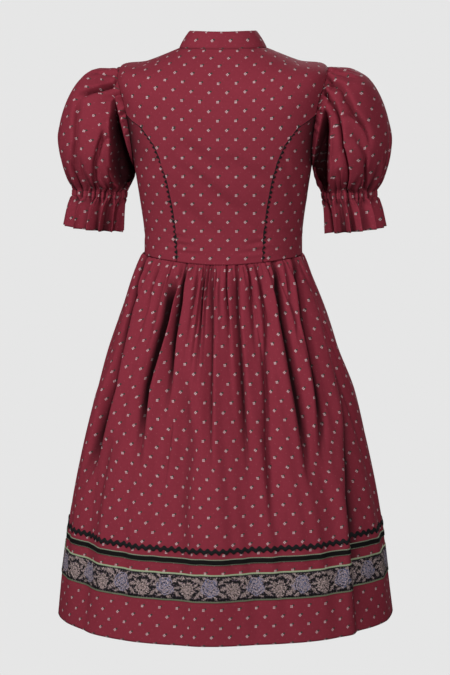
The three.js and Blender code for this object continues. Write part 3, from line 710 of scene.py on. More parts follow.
def button(name, at, normal):
    """A small turned button: a raised rim round a dished middle, with four holes."""
    rings = [
        (0.92, 0.0000), (1.0, 0.0004), (1.0, 0.0014), (0.96, 0.0021), (0.88, 0.0024),
        (0.78, 0.0022), (0.68, 0.0016), (0.55, 0.0014), (0.40, 0.0014),
    ]
    points, faces = [(0.0, 0.0, 0.0)], []
    for share, z in rings:
        points += turned(share * BUTTON_RADIUS, z, BUTTON_TURNS)
    points.append((0.0, 0.0, rings[-1][1]))
    last = len(points) - 1
    for t in range(BUTTON_TURNS):
        n = (t + 1) % BUTTON_TURNS
        faces.append((0, 1 + n, 1 + t))
        for ring in range(len(rings) - 1):
            a = 1 + BUTTON_TURNS * ring
            b = a + BUTTON_TURNS
            faces.append((a + t, a + n, b + n, b + t))
        faces.append((last - BUTTON_TURNS + t, last - BUTTON_TURNS + n, last))
    for hx, hy in ((1, 1), (-1, 1), (-1, -1), (1, -1)):
        base = len(points)
        for z, size in ((0.00142, 0.00055), (0.00165, 0.0004)):
            points += turned(size, z, HOLE_TURNS, (hx * HOLE_PLACE, hy * HOLE_PLACE))
        low, high = np.arange(HOLE_TURNS) + base, np.arange(HOLE_TURNS) + base + HOLE_TURNS
        faces += np.stack([low, np.roll(low, -1), np.roll(high, -1), high], -1).tolist()
        faces += [high.tolist(), low[::-1].tolist()]
    up_axis = np.cross(normal, (1.0, 0, 0))
    up_axis /= np.linalg.norm(up_axis)
    axes = np.stack([np.cross(up_axis, normal), up_axis, normal])
    mesh = bpy.data.meshes.new(f"{name}_sewn")
    mesh.from_pydata((np.array(points) @ axes + at).tolist(), [], faces)
    mesh.polygons.foreach_set("use_smooth", np.ones(len(mesh.polygons), bool))
    mesh.materials.append(button_finish)
    piece = bpy.data.objects.new(f"{name}_sewn", mesh)
    bpy.context.collection.objects.link(piece)
    stand_for(piece, name)


for number, level in enumerate(BUTTON_LEVELS, 1):
    normal = figure_normal(np.array(-90.0), np.array(level))
    button(f"button_{number}", figure(-90, level) + normal * (PLACKET_LIFT + BUTTON_SEAT), normal)

# ---- Puff sleeves
# One piece of cotton each: gathered into the armhole over the shoulder, full round the arm, drawn in
# by elastic in a sewn casing, and let out again as a short ruffle with a narrow hem.
SLEEVE_RINGS = np.array([  # outer x and height, inner x and height, centre y, half width front to back
    (0.208, -0.039, 0.165, -0.221, -0.001, 0.069),
    (0.239, -0.043, 0.167, -0.229, -0.003, 0.079),
    (0.266, -0.059, 0.168, -0.236, -0.005, 0.085),
    (0.291, -0.100, 0.170, -0.242, -0.007, 0.087),
    (0.307, -0.152, 0.172, -0.247, -0.009, 0.085),
    (0.306, -0.197, 0.175, -0.252, -0.011, 0.077),
    (0.295, -0.236, 0.179, -0.257, -0.012, 0.064),
    (0.284, -0.260, 0.183, -0.265, -0.013, 0.050),
    (0.284, -0.272, 0.185, -0.278, -0.013, 0.050),
    (0.288, -0.292, 0.191, -0.299, -0.014, 0.052),
    (0.293, -0.329, 0.196, -0.339, -0.015, 0.056),
])
SLEEVE_COLUMNS, SLEEVE_CUT_WIDTH, SLEEVE_CLOTH = 272, 0.50, 0.00092
CASING_TOP, CASING_LOW = 8, 9  # rows counted from the armhole seam, which is row 0
RUFFLE_START, RUFFLE_HEM = 8.9, 10.72
SLEEVE_WAVES = ((25, 0.0044, 0.9), (38, 0.0026, 2.2))  # gathers over the casing: count, depth, turn
RUFFLE_RISE, RUFFLE_GROWTH, RUFFLE_WAVES = 0.0022, 0.0072, 13
# FOLD_SHADE and RUFFLE_SHADE are the strengths of the painted shade in the sleeve's folds and behind the
# ruffle's waves.
POCKET_DEPTH, POCKET_LIP, FOLD_SHADE, RUFFLE_SHADE = 0.062, 0.004, 0.9, 0.8

# The folds lap over one another. Each has its path as rows and turns, how steeply it falls on its
# crest's side and how gently on the other, its depth and its crest's height, in millimetres, the side
# that the crest is on and how far it laps over.
LEFT_FOLDS = [
    (((0, 24), (1.3, 24.5), (2.1, 9), (3.2, 7)), 3, 6, 5, 2, -1, 3),
    (((0, 37), (0.7, 42), (1.8, 47), (2.9, 44), (3.6, 31)), 4, 9, 15, 4, -1, 9),
    (((0, 63), (1.2, 68), (2.4, 66)), 3, 6, 6, 2, 1, 4),
    (((3.2, 44), (3.9, 52), (4.7, 65), (5.7, 64), (8, 56)), 7, 13, 9, 3, -1, 6),
    (((2.8, 94), (4.5, 98), (5.9, 97), (8, 86)), 5, 10, 9, 3, -1, 6),
    (((2.2, 106), (3.5, 102), (5.0, 106)), 4, 6, 6, 2, 1, 4),
    (((4.6, 120), (6.3, 124), (8, 116)), 5, 9, 9, 3, -1, 6),
    (((5.8, 57), (7.4, 53.5), (8, 52)), 3, 5, 8, 2, 1, 3),
    (((5.4, 76), (8, 72)), 3, 5, 6, 2, -1, 3),
    (((0, 5), (2.6, -6)), 3.5, 7, 8, 3, 1, 5),
    (((0, -18), (3.2, -16)), 4, 8, 11, 4, 1, 7),
    (((0, -42), (3.4, -30)), 4, 9, 13, 4, 1, 8),
    (((0, -66), (3.8, -52)), 4, 9, 12, 4, 1, 8),
    (((5.0, 24), (8, 28)), 5, 9, 8, 3, 1, 5),
    (((4.6, 2), (8, 4)), 6, 9, 7, 3, -1, 4),
    (((4.4, -24), (8, -20)), 5, 9, 9, 3, -1, 5),
    (((4.0, -54), (8, -50)), 5, 9, 10, 3, 1, 6),
    (((4.8, -84), (8, -80)), 5, 8, 9, 3, -1, 5),
    (((4.4, -114), (8, -110)), 5, 8, 8, 3, 1, 5),
    (((5.0, -148), (8, -146)), 5, 8, 8, 3, 1, 4),
    (((5.4, 152), (8, 150)), 5, 8, 8, 3, -1, 4),
]
LEFT_POCKET = ((0.4, 61), (1.0, 68), (1.5, 83), (2.8, 110), (4.5, 121), (6.5, 131), (8, 141))
RIGHT_FOLDS = [
    (((0, 13), (0.4, 18), (1.6, 26), (2.6, 29)), 3, 6, 6, 2, -1, 3),
    (((0, 30), (0.5, 34), (1.6, 45), (2.2, 56), (3.2, 64), (4.6, 60)), 5, 10, 13, 4, -1, 8),
    (((0, 54), (0.8, 58), (1.8, 71), (2.8, 84), (3.9, 95), (4.9, 96), (8, 92)), 4.5, 10, 16, 5, -1, 10),
    (((2.8, 73), (4.2, 64), (5.2, 63)), 4, 6, 7, 2, 1, 4),
    (((5.4, 71), (6.0, 68), (8, 53)), 3, 6, 11, 3, -1, 6),
    (((4.0, 80), (5.5, 73), (7.4, 69)), 4, 8, 7, 3, 1, 4),
    (((6.0, 34), (8, 22)), 3.5, 6, 8, 3, 1, 4),
    (((5.0, 112), (8, 110)), 4, 7, 7, 2, -1, 4),
    (((0, -4), (2.6, -8)), 3.5, 7, 8, 3, 1, 5),
    (((0, -22), (3.2, -18)), 4, 8, 11, 4, 1, 7),
    (((0, -46), (3.4, -34)), 4, 9, 13, 4, 1, 8),
    (((0, -70), (3.8, -56)), 4, 9, 12, 4, 1, 8),
    (((4.8, 8), (8, 6)), 6, 9, 7, 3, -1, 4),
    (((4.6, -22), (8, -24)), 5, 9, 9, 3, -1, 5),
    (((4.0, -58), (8, -54)), 5, 9, 10, 3, 1, 6),
    (((4.8, -88), (8, -84)), 5, 8, 9, 3, -1, 5),
    (((4.4, -118), (8, -114)), 5, 8, 8, 3, 1, 5),
    (((5.0, -150), (8, -148)), 5, 8, 8, 3, 1, 4),
    (((5.4, 156), (8, 150)), 5, 8, 8, 3, -1, 4),
]
RIGHT_POCKET = ((0.4, 67), (1.2, 80), (2.3, 103), (3.7, 121), (5.5, 129), (7.5, 132), (8, 134))


def soft_step(x, low, high):
    t = np.clip((x - low) / (high - low), 0, 1)
    return t * t * (3 - 2 * t)


def lapped_fold(away, steep, gentle, deep, ridge):
    """Relief of one fold at places that lie away from its line, and its crest, all in millimetres, with the
    painted shade that stands in for the fold's shadow.
    """
    valley = np.exp(-(np.abs(away / np.where(away > 0, steep, gentle)) ** 1.6))
    crest = np.exp(-(((away - 2.1 * steep) / (1.5 * steep + 2)) ** 2))
    wide = np.minimum(0.4 * gentle, 1.6 + 0.28 * gentle)
    covered = 0.32 * max(deep - 14, 0)
    # inside is painted shade, darkest in the trough and under the lapped crest.
    inside = np.exp(-((np.minimum(away + covered, 0) / wide) ** 2)) * soft_step(away, 1.1 * steep, 0.3 * steep)
    return ridge * crest - deep * valley, crest, inside * np.clip((deep - 4) / 19, 0, 1)


def cloth_used(points, hidden, width):
    """Places across the cloth for each row of points, with the cloth that lies in the folds."""
    step = np.linalg.norm(np.diff(points, axis=1), axis=-1)
    tuck_and_painted_shade = (hidden[:, 1:] + hidden[:, :-1]) / 2 + 0.02
    spare = width - step.sum(1, keepdims=True)
    step = step + np.maximum(spare, 0) * tuck_and_painted_shade / tuck_and_painted_shade.sum(1, keepdims=True)
    wide = np.concatenate([np.zeros((len(step), 1)), np.cumsum(step, axis=1)], axis=1)
    return wide * width / wide[:, -1:]


def armhole_point(turn):
    """The armhole seam at turn degrees: 0 is its top, 90 its back, 180 the underarm."""
    level = ARMHOLE_MID - np.cos(np.radians(turn))
    back = np.sin(np.radians(turn)) >= 0
    angle = np.where(back, armhole_angle(level, ARMHOLE_BACK), -armhole_angle(level, ARMHOLE_FRONT))
    return figure(angle, level) + figure_normal(angle, level) * (0.0003 + SEAM_GAP)


def sleeve_surface(row, turn):
    """Point of the smooth sleeve, and the direction that its cloth faces, at a row and a turn."""
    keys = np.arange(1, len(SLEEVE_RINGS) + 1, dtype=float)
    at = np.maximum(row, 1)
    ring = [smooth_table(keys, SLEEVE_RINGS[:, i], at) for i in range(6)]
    middle = np.stack([(ring[0] + ring[2]) / 2, ring[4], (ring[1] + ring[3]) / 2], -1)
    across = np.stack([(ring[0] - ring[2]) / 2, 0 * ring[0], (ring[1] - ring[3]) / 2], -1)
    cosine, sine = np.cos(np.radians(turn)), np.sin(np.radians(turn))
    spoke = across * cosine[..., None] + np.stack([0 * sine, ring[5] * sine, 0 * sine], -1)
    seam = armhole_point(turn)
    share = np.clip(row, 0, 1)[..., None]
    share = share * (1.6 - 0.6 * share)
    direction = spoke / np.linalg.norm(spoke, axis=-1, keepdims=True)
    return seam * (1 - share) + (middle + spoke) * share, direction


def sleeve_fold_shown(row, first, last):
    """Where a fold shows along the sleeve, between two rows. Row 8 is the casing's top."""
    shown = soft_step(row, first - 0.3, first + 0.7) if first else 0.35 + 0.65 * soft_step(row, 0, 0.4)
    return shown * (soft_step(row, 8.2, 7.4) if last == CASING_TOP else soft_step(row, last, last - 1.1))


def sleeve(name, mirror, folds, pocket, pocket_shade, shade_edge, seed):
    """One sleeve, and its three lines of stitches. pocket is the edge of the cloth that lies drawn in
    under the arm, pocket_shade how strong the painted shade on that cloth is, and shade_edge the turn past
    which that painted shade is strongest."""
    rows = np.concatenate([
        np.linspace(0, 0.25, 6), np.linspace(0.3, 7.2, 66), np.linspace(7.3, 9.4, 28), np.linspace(9.5, 11, 16),
    ])
    turns = np.linspace(0, 360, SLEEVE_COLUMNS + 1)[:-1]
    row, turn = np.meshgrid(rows, turns, indexing="ij")
    points, _ = sleeve_surface(row, turn)
    girth = np.linalg.norm(np.roll(points, -1, 1) - points, axis=-1).sum(1, keepdims=True)
    phase = np.radians(turn)
    # The head: fine gathers over the shoulder, a full crown, and the seam drawn in.
    top = np.abs((turn + 180) % 360 - 180)
    head = np.exp(-((row / 1.5) ** 2)) * (1 - soft_step(top, 85, 125))
    relief = head * (0.0024 * np.sin(27 * phase + seed) + 0.0014 * np.sin(43 * phase + 2 * seed))
    relief += 0.0030 * np.exp(-(((row - 3) / 2.2) ** 2)) * np.clip(np.cos(phase), 0, 1)
    relief -= 0.0012 * np.exp(-((row / 0.10) ** 2))
    slide, hidden, clear_of_painted_shade = np.zeros(row.shape), np.zeros(row.shape), np.ones(row.shape)
    for path, steep, gentle, deep, ridge, side, lap in folds:
        rows_of, turns_of = zip(*path)
        shown = sleeve_fold_shown(row, rows_of[0], rows_of[-1])
        away = ((turn - np.interp(row, rows_of, turns_of) + 180) % 360 - 180) / 360 * girth * 1000 * side
        depth, crest, inside = lapped_fold(away, steep, min(gentle, 14), deep, ridge)
        relief += shown * depth / 1000
        slide -= side * lap * shown * crest / 1000
        hidden += shown * deep * np.exp(-(((away - 0.5 * steep) / (0.65 * steep + 0.4)) ** 2))
        # Painted shade in the fold's trough.
        clear_of_painted_shade *= 1 - FOLD_SHADE * shown * inside
    # The casing: elastic gathers that run up into the puff, and two drawn-in lines of stitches.
    above = soft_step(row, 5.2, 8.0) ** 1.3 * soft_step(row, CASING_LOW + 0.9, CASING_LOW + 0.1)
    for count, deep, turned_by in SLEEVE_WAVES:
        uneven = 0.10 * np.sin(3 * phase + seed) + 0.04 * np.sin(7 * phase + 2 * seed)
        dip = np.abs(np.cos((count * (phase + uneven) + turned_by * seed) / 2))
        relief -= above * deep * (dip**5 - 0.35)
        # Painted shade in the gathers' dips.
        clear_of_painted_shade *= 1 - 180 * deep * above * dip**9
    relief += 0.0005 * np.exp(-(((row - 8.5) / 0.42) ** 4))
    for line in (CASING_TOP, CASING_LOW):
        relief -= 0.0011 * np.exp(-(((row - line) / 0.09) ** 2))
    # The ruffle waves more toward its hem.
    free = row > RUFFLE_START
    wander = 0.7 * np.sin(3 * phase + seed) + 0.4 * np.sin(5 * phase - seed)
    waves = np.sin(RUFFLE_WAVES * phase + wander + 1.3 * seed) + 0.3 * np.sin(19 * phase + 2 * seed)
    growth = RUFFLE_GROWTH * np.clip((row - CASING_LOW) / 2, 0, 1) ** 0.8
    wavy = RUFFLE_RISE * np.clip((row - RUFFLE_START) / 0.4, 0, 1) + growth
    relief += wavy * waves * free
    slide += 0.6 * wavy * np.cos(RUFFLE_WAVES * phase + wander + 1.3 * seed + 0.9) * free
    soft = np.sin(5 * phase + 1.4 * row + seed) + 0.7 * np.sin(9 * phase - 1.1 * row + 2 * seed)
    relief += 0.0009 * soft_step(row, 1.5, 3.5) * soft_step(row, 8, 6) * soft
    points, direction = sleeve_surface(row, turn + slide / girth * 360)
    outside = points + direction * relief[..., None]
    # Under the arm the cloth lies drawn in between the sleeve and the body, behind a rounded edge.
    past = turn - np.interp(row, *np.array(pocket).T)
    drawn = soft_step(past, -2, 12) * soft_step(turn, 184, 160)
    drawn = drawn * soft_step(row, 0.5, 1.8) * soft_step(row, 8.0, 6.2)
    outside = outside - np.array((0, 1, 0)) * (POCKET_DEPTH * drawn)[..., None]
    edge = np.exp(-((past / 5) ** 2)) * soft_step(row, 0.8, 2) * soft_step(row, 8, 6.5)
    outside = outside + direction * (POCKET_LIP * edge)[..., None]
    # Painted shade on the drawn-in cloth under the arm, in place of its shadow.
    clear_of_painted_shade *= 1 - pocket_shade * drawn**0.6 * soft_step(past, -20, shade_edge)
    # Painted shade behind the ruffle's waves.
    behind = soft_step(waves, -0.2, -1.1) * free
    clear_of_painted_shade *= 1 - RUFFLE_SHADE * wavy / (RUFFLE_RISE + RUFFLE_GROWTH) * behind
    inside = outside - direction * SLEEVE_CLOTH
    along = np.linalg.norm(np.diff(points, axis=0), axis=-1)
    high = np.concatenate([np.zeros((1, SLEEVE_COLUMNS)), np.cumsum(along, axis=0)])
    high = high[-1:] - high
    tuck_and_painted_shade = 1 - clear_of_painted_shade
    if mirror:
        outside, inside = outside[:, ::-1] * (-1, 1, 1), inside[:, ::-1] * (-1, 1, 1)
        tuck_and_painted_shade, hidden, high = tuck_and_painted_shade[:, ::-1], hidden[:, ::-1], high[:, ::-1]
    around = [np.concatenate([grid, grid[:, :1]], axis=1) for grid in (outside, hidden, high)]
    cut = np.stack([cloth_used(around[0], around[1], SLEEVE_CUT_WIDTH), around[2]], -1)
    piece = cloth_piece(name, outside, inside, cut, printed_cotton, closed=True, tuck_and_painted_shade=tuck_and_painted_shade)
    declare(piece, name)
    near = [np.argmin(np.abs(rows - line)) for line in (CASING_TOP - 0.12, CASING_LOW + 0.12, RUFFLE_HEM)]
    return [around[0][i] for i in near]


sleeve_lines = sleeve("sleeve_left", False, LEFT_FOLDS, LEFT_POCKET, 0.88, 2, 0.7)
sleeve_lines += sleeve("sleeve_right", True, RIGHT_FOLDS, RIGHT_POCKET, 0.80, 16, 2.1)

# ---- Skirt
# Two widths of the cotton, joined at the sides and gathered onto the waist seam. The gathers run out
# into long soft folds, which are deepest at the sides of the back.
HEM_HEIGHT, SKIRT_LENGTH = -1.055, 0.669
SKIRT = np.array([  # drop, half width, depth at the back and front, power, lean along x, turn
    (0, 0.149, 0.096, 0.105, 2.2, 0, 0),
    (0.025, 0.1565, 0.103, 0.111, 2.2, 0, 0),
    (0.07, 0.169, 0.114, 0.121, 2.2, 0, -1),
    (0.14, 0.186, 0.132, 0.138, 2.2, -0.002, -2),
    (0.25, 0.211, 0.157, 0.161, 2.2, -0.003, -3),
    (0.4, 0.241, 0.183, 0.186, 2.25, -0.004, -4),
    (0.56, 0.267, 0.206, 0.208, 2.25, -0.005, -5),
    (0.725, 0.290, 0.225, 0.227, 2.25, -0.006, -6),
    (0.885, 0.3057, 0.2331, 0.2357, 2.25, -0.006, -6.6),
    (1, 0.317, 0.239, 0.242, 2.25, -0.006, -7),
])
SETTLE_DROP, HEM_BAND_DROP, HEM_SHARE = 0.725, 0.885, 0.55
GATHERS = 40
GATHER_VALLEY = np.array((1.6, 4.5, 6.0, 6.0, 5.0, 3.2, 1.4, 0, 0, 0)) / 1000
GATHER_CREST = np.array((2.4, 3.0, 2.6, 2.0, 1.3, 0.8, 0, 0, 0, 0)) / 1000
GATHER_DRIFT = ((7, 1.1), (11, 0.8))
BROAD_WAVES = ((5, 0.004, 40), (9, 0.0025, 10))
# The long folds lap over one another like soft pleats. Each has its path as drops and angles, how
# steeply it falls on its crest's side and how gently on the other, its depth and its crest's height, in
# millimetres, the side that the crest is on and how far it laps over, and the drops it shows between.
FOLDS = [
    (((0, 8), (1, 9)), 20, 20, 5, 9, 1, 0, 0.25, 1.6),
    (((0, 18.5), (0.17, 25.8), (0.34, 31.2), (0.52, 28), (0.66, 23.5)), 5, 14, 46, 6, 1, 4, 0.0, 0.66),
    (((0, 33), (0.12, 37)), 3, 5, 10, 2, 1, 3, 0.0, 0.26),
    (((0, 42), (0.2, 44)), 3, 6, 9, 2, 1, 3, 0.0, 0.34),
    (((0.4, 36), (0.48, 36), (0.74, 34.8), (1, 33)), 8, 18, 6, 7, 1, 3, 0.42, 1.6),
    (((0, 50.5), (0.05, 51.2), (0.15, 53), (0.33, 50.5), (0.66, 53.2)), 5, 12, 42, 6, 1, 3, 0.01, 0.56),
    (((0.36, 66.8), (0.55, 65.2)), 3.5, 7, 6, 2.5, 1, 2, 0.34, 0.72),
    (((0, 57.4), (0.1, 60.8), (0.2, 60.8), (0.3, 62)), 3.8, 9, 23, 3, 1, 4, 0.0, 0.44),
    (((0.25, 69), (0.35, 71.5), (0.46, 76.2), (0.65, 75), (0.88, 78.8)), 12, 20, 8, 3, 1, 2, 0.25, 1.2),
    (((0, 70), (0.2, 69)), 3, 5, 10, 2, -1, 3, 0.0, 0.28),
    (((0, 77), (0.12, 76.8), (0.2, 77)), 3.2, 7, 18, 3, 1, 3, 0.0, 0.34),
    (((0, 84), (0.2, 86.2), (0.38, 87)), 3.8, 9, 15, 4, 1, 4, 0.0, 0.58),
    (((0, 91.5), (0.2, 92)), 3, 5, 8, 2, -1, 2, 0.0, 0.22),
    (((0, 99), (0.2, 98)), 3, 6, 10, 2, 1, 3, 0.0, 0.30),
    (((0, 109.5), (0.14, 105.8), (0.38, 105.5)), 4.2, 10, 16, 4, 1, 5, 0.0, 0.62),
    (((0, 118.5), (0.11, 115.2), (0.2, 114)), 3, 5, 12, 2, -1, 3, 0.0, 0.28),
    (((0, 128.4), (0.29, 119), (0.46, 115.5)), 6, 12, 9, 3, -1, 3, 0.0, 0.75),
    (((0, 140.5), (0.15, 134), (0.3, 133.2), (0.66, 133.5)), 5, 12, 25, 5, -1, 3, 0.0, 0.62),
    (((0, 149), (0.2, 141)), 3, 6, 10, 2, -1, 3, 0.0, 0.3),
    (((0, 157.5), (0.16, 148), (0.28, 146.2), (0.49, 142.2), (0.58, 143)), 5, 10, 26, 5, -1, 3, 0.0, 0.58),
    (
        ((0, 169), (0.06, 168), (0.2, 161.5), (0.38, 159.5), (0.63, 151), (0.8, 149)),
        6, 40, 32, 7, -1, 4, 0.0, 1.6,
    ),
    (((0, 193), (1, 193)), 18, 20, 6, 8, -1, 0, 0.25, 1.6),
    (((0, 201), (0.5, 206), (1, 207)), 6, 28, 16, 7, 1, 4, 0.0, 1.6),
    (((0, 214), (0.5, 217)), 4, 10, 14, 4, 1, 4, 0.0, 0.7),
    (((0, 228), (0.3, 231), (0.7, 228)), 5, 13, 17, 5, 1, 5, 0.0, 0.85),
    (((0, 236), (0.2, 237)), 3, 5, 10, 2, -1, 3, 0.0, 0.3),
    (((0.1, 243), (0.7, 247)), 9, 16, 9, 4, 1, 2, 0.1, 1.3),
    (((0, 257), (0.4, 255)), 3.6, 9, 13, 3, 1, 3, 0.0, 0.5),
    (((0, 265), (0.2, 264)), 3, 5, 10, 2, 1, 3, 0.0, 0.3),
    (((0.1, 274), (0.7, 270)), 9, 16, 9, 4, 1, 2, 0.05, 1.2),
    (((0, 289), (0.5, 291)), 4, 9, 13, 4, -1, 3, 0.0, 0.55),
    (((0, 304), (0.4, 300), (0.9, 302)), 5, 14, 16, 5, -1, 5, 0.0, 1.1),
    (((0, 319), (0.7, 315)), 4, 10, 14, 4, -1, 4, 0.0, 0.75),
    (((0, 334), (0.3, 329), (0.8, 330)), 6, 28, 17, 7, -1, 5, 0.0, 1.6),
    (((0.1, 348), (0.8, 347)), 8, 14, 7, 3, -1, 2, 0.1, 0.8),
]
SKIRT_CLOTH, SKIRT_CUT_HALF = 0.0012, 0.93
# Painted shade: its strength in the skirt's folds, the most that it darkens, and its strength in the gathers.
SKIRT_SHADE, DARKEST, GATHER_SHADE = 1.25, 0.96, 0.30
GATHER_LAP, WAIST_RIPPLE, WAIST_TUCK, SOFT_WAVES = 0.0022, 0.0009, 0.0012, 0.0017


def fold_shape(angle, drop, radius):
    """How far the folds move the cloth out, in and round, how much of it they hide, and how much of it
    their painted shade leaves clear.
    """
    at = np.minimum(drop, SETTLE_DROP)
    relief = sum(
        soft_step(at, 0.1, SETTLE_DROP) * depth * np.sin(np.radians(times * angle + turn))
        for times, depth, turn in BROAD_WAVES
    )
    slide, hidden, clear_of_painted_shade = np.zeros(relief.shape), np.zeros(relief.shape), np.ones(relief.shape)
    trough = np.zeros(relief.shape)
    for path, steep, gentle, deep, ridge, side, lap, first, last in FOLDS:
        drops, angles = zip(*path)
        shown = soft_step(drop, last, last - 0.28)
        if first:
            shown = shown * soft_step(drop, first, first + 0.14)
        shown = shown * (0.35 + 0.65 * soft_step(drop, 0.0, 0.08)) * (1 - 0.45 * soft_step(drop, 0.5, 0.85))
        away = (angle - np.interp(at, drops, angles) + 180) % 360 - 180
        away = side * np.radians(away) * radius * 1000
        wider = 0.8 + 0.6 * at / SETTLE_DROP
        depth, crest, inside = lapped_fold(away, steep * wider, gentle * wider, deep, ridge)
        relief = relief + shown * ridge * crest / 1000
        trough = np.maximum(trough, shown * (ridge * crest - depth) / 1000)
        slide = slide - shown * side * lap * soft_step(drop, 0.95, 0.6) * crest / 1000
        wall = (away - 0.5 * steep * wider) / (0.65 * steep * wider + 0.4)
        hidden = hidden + shown * deep * np.exp(-(wall**2)) * (lap > 0)
        # Painted shade in the fold's trough.
        shade = SKIRT_SHADE * shown * inside * soft_step(drop, 1.05, 0.75)
        clear_of_painted_shade = clear_of_painted_shade * (1 - np.minimum(shade, DARKEST))
    share = 1 + (HEM_SHARE - 1) * np.maximum(drop - HEM_BAND_DROP, 0) / (1 - HEM_BAND_DROP)
    return relief * share, trough * share, slide, hidden, clear_of_painted_shade


def skirt_shape(start, share, drop, lift=0.0):
    """Points of the skirt's outside, how much cloth is hidden at each, and the painted shade of its folds
    and gathers. share runs from 0 to 1 round one half, from the side seam at start."""
    start, share, drop = np.broadcast_arrays(*(np.asarray(value, float) for value in (start, share, drop)))
    angle = 180 * share
    for times, degrees in GATHER_DRIFT:
        angle = angle + degrees * np.sin(np.radians(times * angle))
    angle = angle + start
    row = [smooth_table(SKIRT[:, 0], SKIRT[:, i], drop) for i in range(1, 7)]
    turned = angle + row[5]
    depth = np.where(np.sin(np.radians(turned)) >= 0, row[1], row[2])
    radius = ring_radius(turned, row[0], depth, row[3])
    phase = share * GATHERS / 2
    number = (np.round(phase) + start / 9.0) % GATHERS
    length = 0.17 + 0.10 * np.sin(number * 2.4 + 1) + 0.05 * np.sin(number * 5.1)
    ends = ((number % 20) > 0.5) * 0.5 + 0.5
    width = 0.12 + 0.16 * drop
    from_gather = phase - np.round(phase)
    runs_out = np.exp(-((drop / length) ** 1.6)) * ends
    dip = np.exp(-(np.abs(from_gather / width) ** 1.6)) * runs_out
    valley = smooth_table(SKIRT[:, 0], GATHER_VALLEY, drop)
    crest = smooth_table(SKIRT[:, 0], GATHER_CREST, drop)
    folds, trough, slide, hidden, clear_of_painted_shade = fold_shape(angle, drop, radius)
    relief = crest * (1 - dip) - valley * dip + folds
    way = np.where(np.sin(number * 3.7) > 0, 1, -1)
    lean = np.exp(-(((from_gather * way - 1.6 * width) / (1.3 * width)) ** 2))
    slide = slide - way * GATHER_LAP * lean * runs_out * soft_step(drop, 0, 0.03)
    ripple = np.sin(phase * 2 * np.pi * 2.5 + 1.1) + 0.6 * np.sin(phase * 2 * np.pi * 3.7 + 0.4)
    relief = relief + WAIST_RIPPLE * (1 - soft_step(drop, 0.0, 0.09)) * ripple
    drift = np.radians(angle + 3 * np.sin(np.radians(angle * 2.0)) - 9 * drop)
    soft = np.sin(21 * drift + 1.0) + 0.7 * np.sin(34 * drift + 3 * drop) + 0.35 * np.sin(57 * drift - 4 * drop)
    relief = relief + SOFT_WAVES * soft_step(drop, 0.06, 0.3) * soft_step(drop, 1.1, 0.7) * soft
    waist = figure(angle, np.full(angle.shape, float(WAIST)))[..., 2] - 3 * SEAM_GAP
    radius = radius + relief + lift - WAIST_TUCK * np.exp(-((drop / 0.0025) ** 2))
    at = np.radians(angle) + slide / radius
    height = waist + (HEM_HEIGHT - waist) * drop
    # The folds go straight in towards the dress's middle plane more than towards its axis.
    inward = np.stack([0.4 * np.cos(at), 0.4 * np.sin(at) + 0.6 * np.tanh(np.sin(at) / 0.2)])
    inward = inward / np.maximum(np.hypot(*inward), 1e-6) * trough
    points = np.stack([radius * np.cos(at) + row[4] - inward[0], radius * np.sin(at) - inward[1], height], -1)
    # Painted shade in the gathers' dips.
    clear_of_painted_shade = clear_of_painted_shade * (1 - GATHER_SHADE * dip**6 * np.clip(valley / GATHER_VALLEY.max(), 0, 1))
    return points, hidden + 0.5 * valley * dip**3 * 1000, 1 - clear_of_painted_shade


drops = np.concatenate([np.linspace(0, 0.03, 7), np.linspace(0.037, 0.985, 87), np.linspace(0.99, 1, 3)])
drops = drops[:, None]
shares = np.linspace(0.00002, 0.99998, 421)[None, :]
high = (1 - drops) * SKIRT_LENGTH
for name, start in (("skirt_back", 0), ("skirt_front", 180)):
    outside, hidden, tuck_and_painted_shade = skirt_shape(start, shares, drops)
    inside, _, _ = skirt_shape(start, shares, drops, -SKIRT_CLOTH)
    wide = cloth_used(outside, hidden, SKIRT_CUT_HALF)
    printed = np.stack(np.broadcast_arrays(wide, high), -1)
    piece = cloth_piece(name, outside, inside, printed, printed_cotton, tuck_and_painted_shade=tuck_and_painted_shade)
    declare(piece, name)

# ---- Ribbons round the skirt
# A wide black jacquard ribbon with flowers and green edges, and above it a thin black one, both sewn
# flat onto the skirt through its folds.
RIBBON_THICK, RIBBON_GAP, RIBBON_COLUMNS = 0.0009, 0.0004, 1200
FLORAL_LOW, FLORAL_HIGH, NARROW_LOW, NARROW_HIGH = 0.080, 0.1305, 0.147, 0.158  # above the hem


def round_skirt(turns, height, lift=0.0):
    """Points on the skirt all the way round it, at heights above the hem. turns runs from 0 to 2, one
    for each half of the skirt."""
    start = np.where(turns < 1, 0, 180)[None, :]
    return skirt_shape(start, (turns % 1)[None, :], 1 - height / SKIRT_LENGTH, lift)[0]


def skirt_band(name, low, high, rows, finish, crown=0.0):
    """A closed band round the skirt between two heights above the hem, and its cut."""
    turns = np.linspace(0, 2, RIBBON_COLUMNS + 1)[:-1]
    heights = np.linspace(high, low, rows)[:, None]
    bulge = crown * (1 - np.linspace(-1, 1, rows) ** 4)[:, None]
    outside = round_skirt(turns, heights, RIBBON_GAP + RIBBON_THICK + bulge)
    inside = round_skirt(turns, heights, RIBBON_GAP)
    ring = np.concatenate([outside, outside[:, :1]], axis=1)
    step = np.linalg.norm(np.diff(ring, axis=1), axis=-1).mean(0)
    wide = np.concatenate([[0], np.cumsum(step)])[None, :] * (2 * SKIRT_CUT_HALF / step.sum())
    cut = np.stack(np.broadcast_arrays(wide, heights - low), -1)
    return cloth_piece(name, outside, inside, cut, finish, closed=True), cut


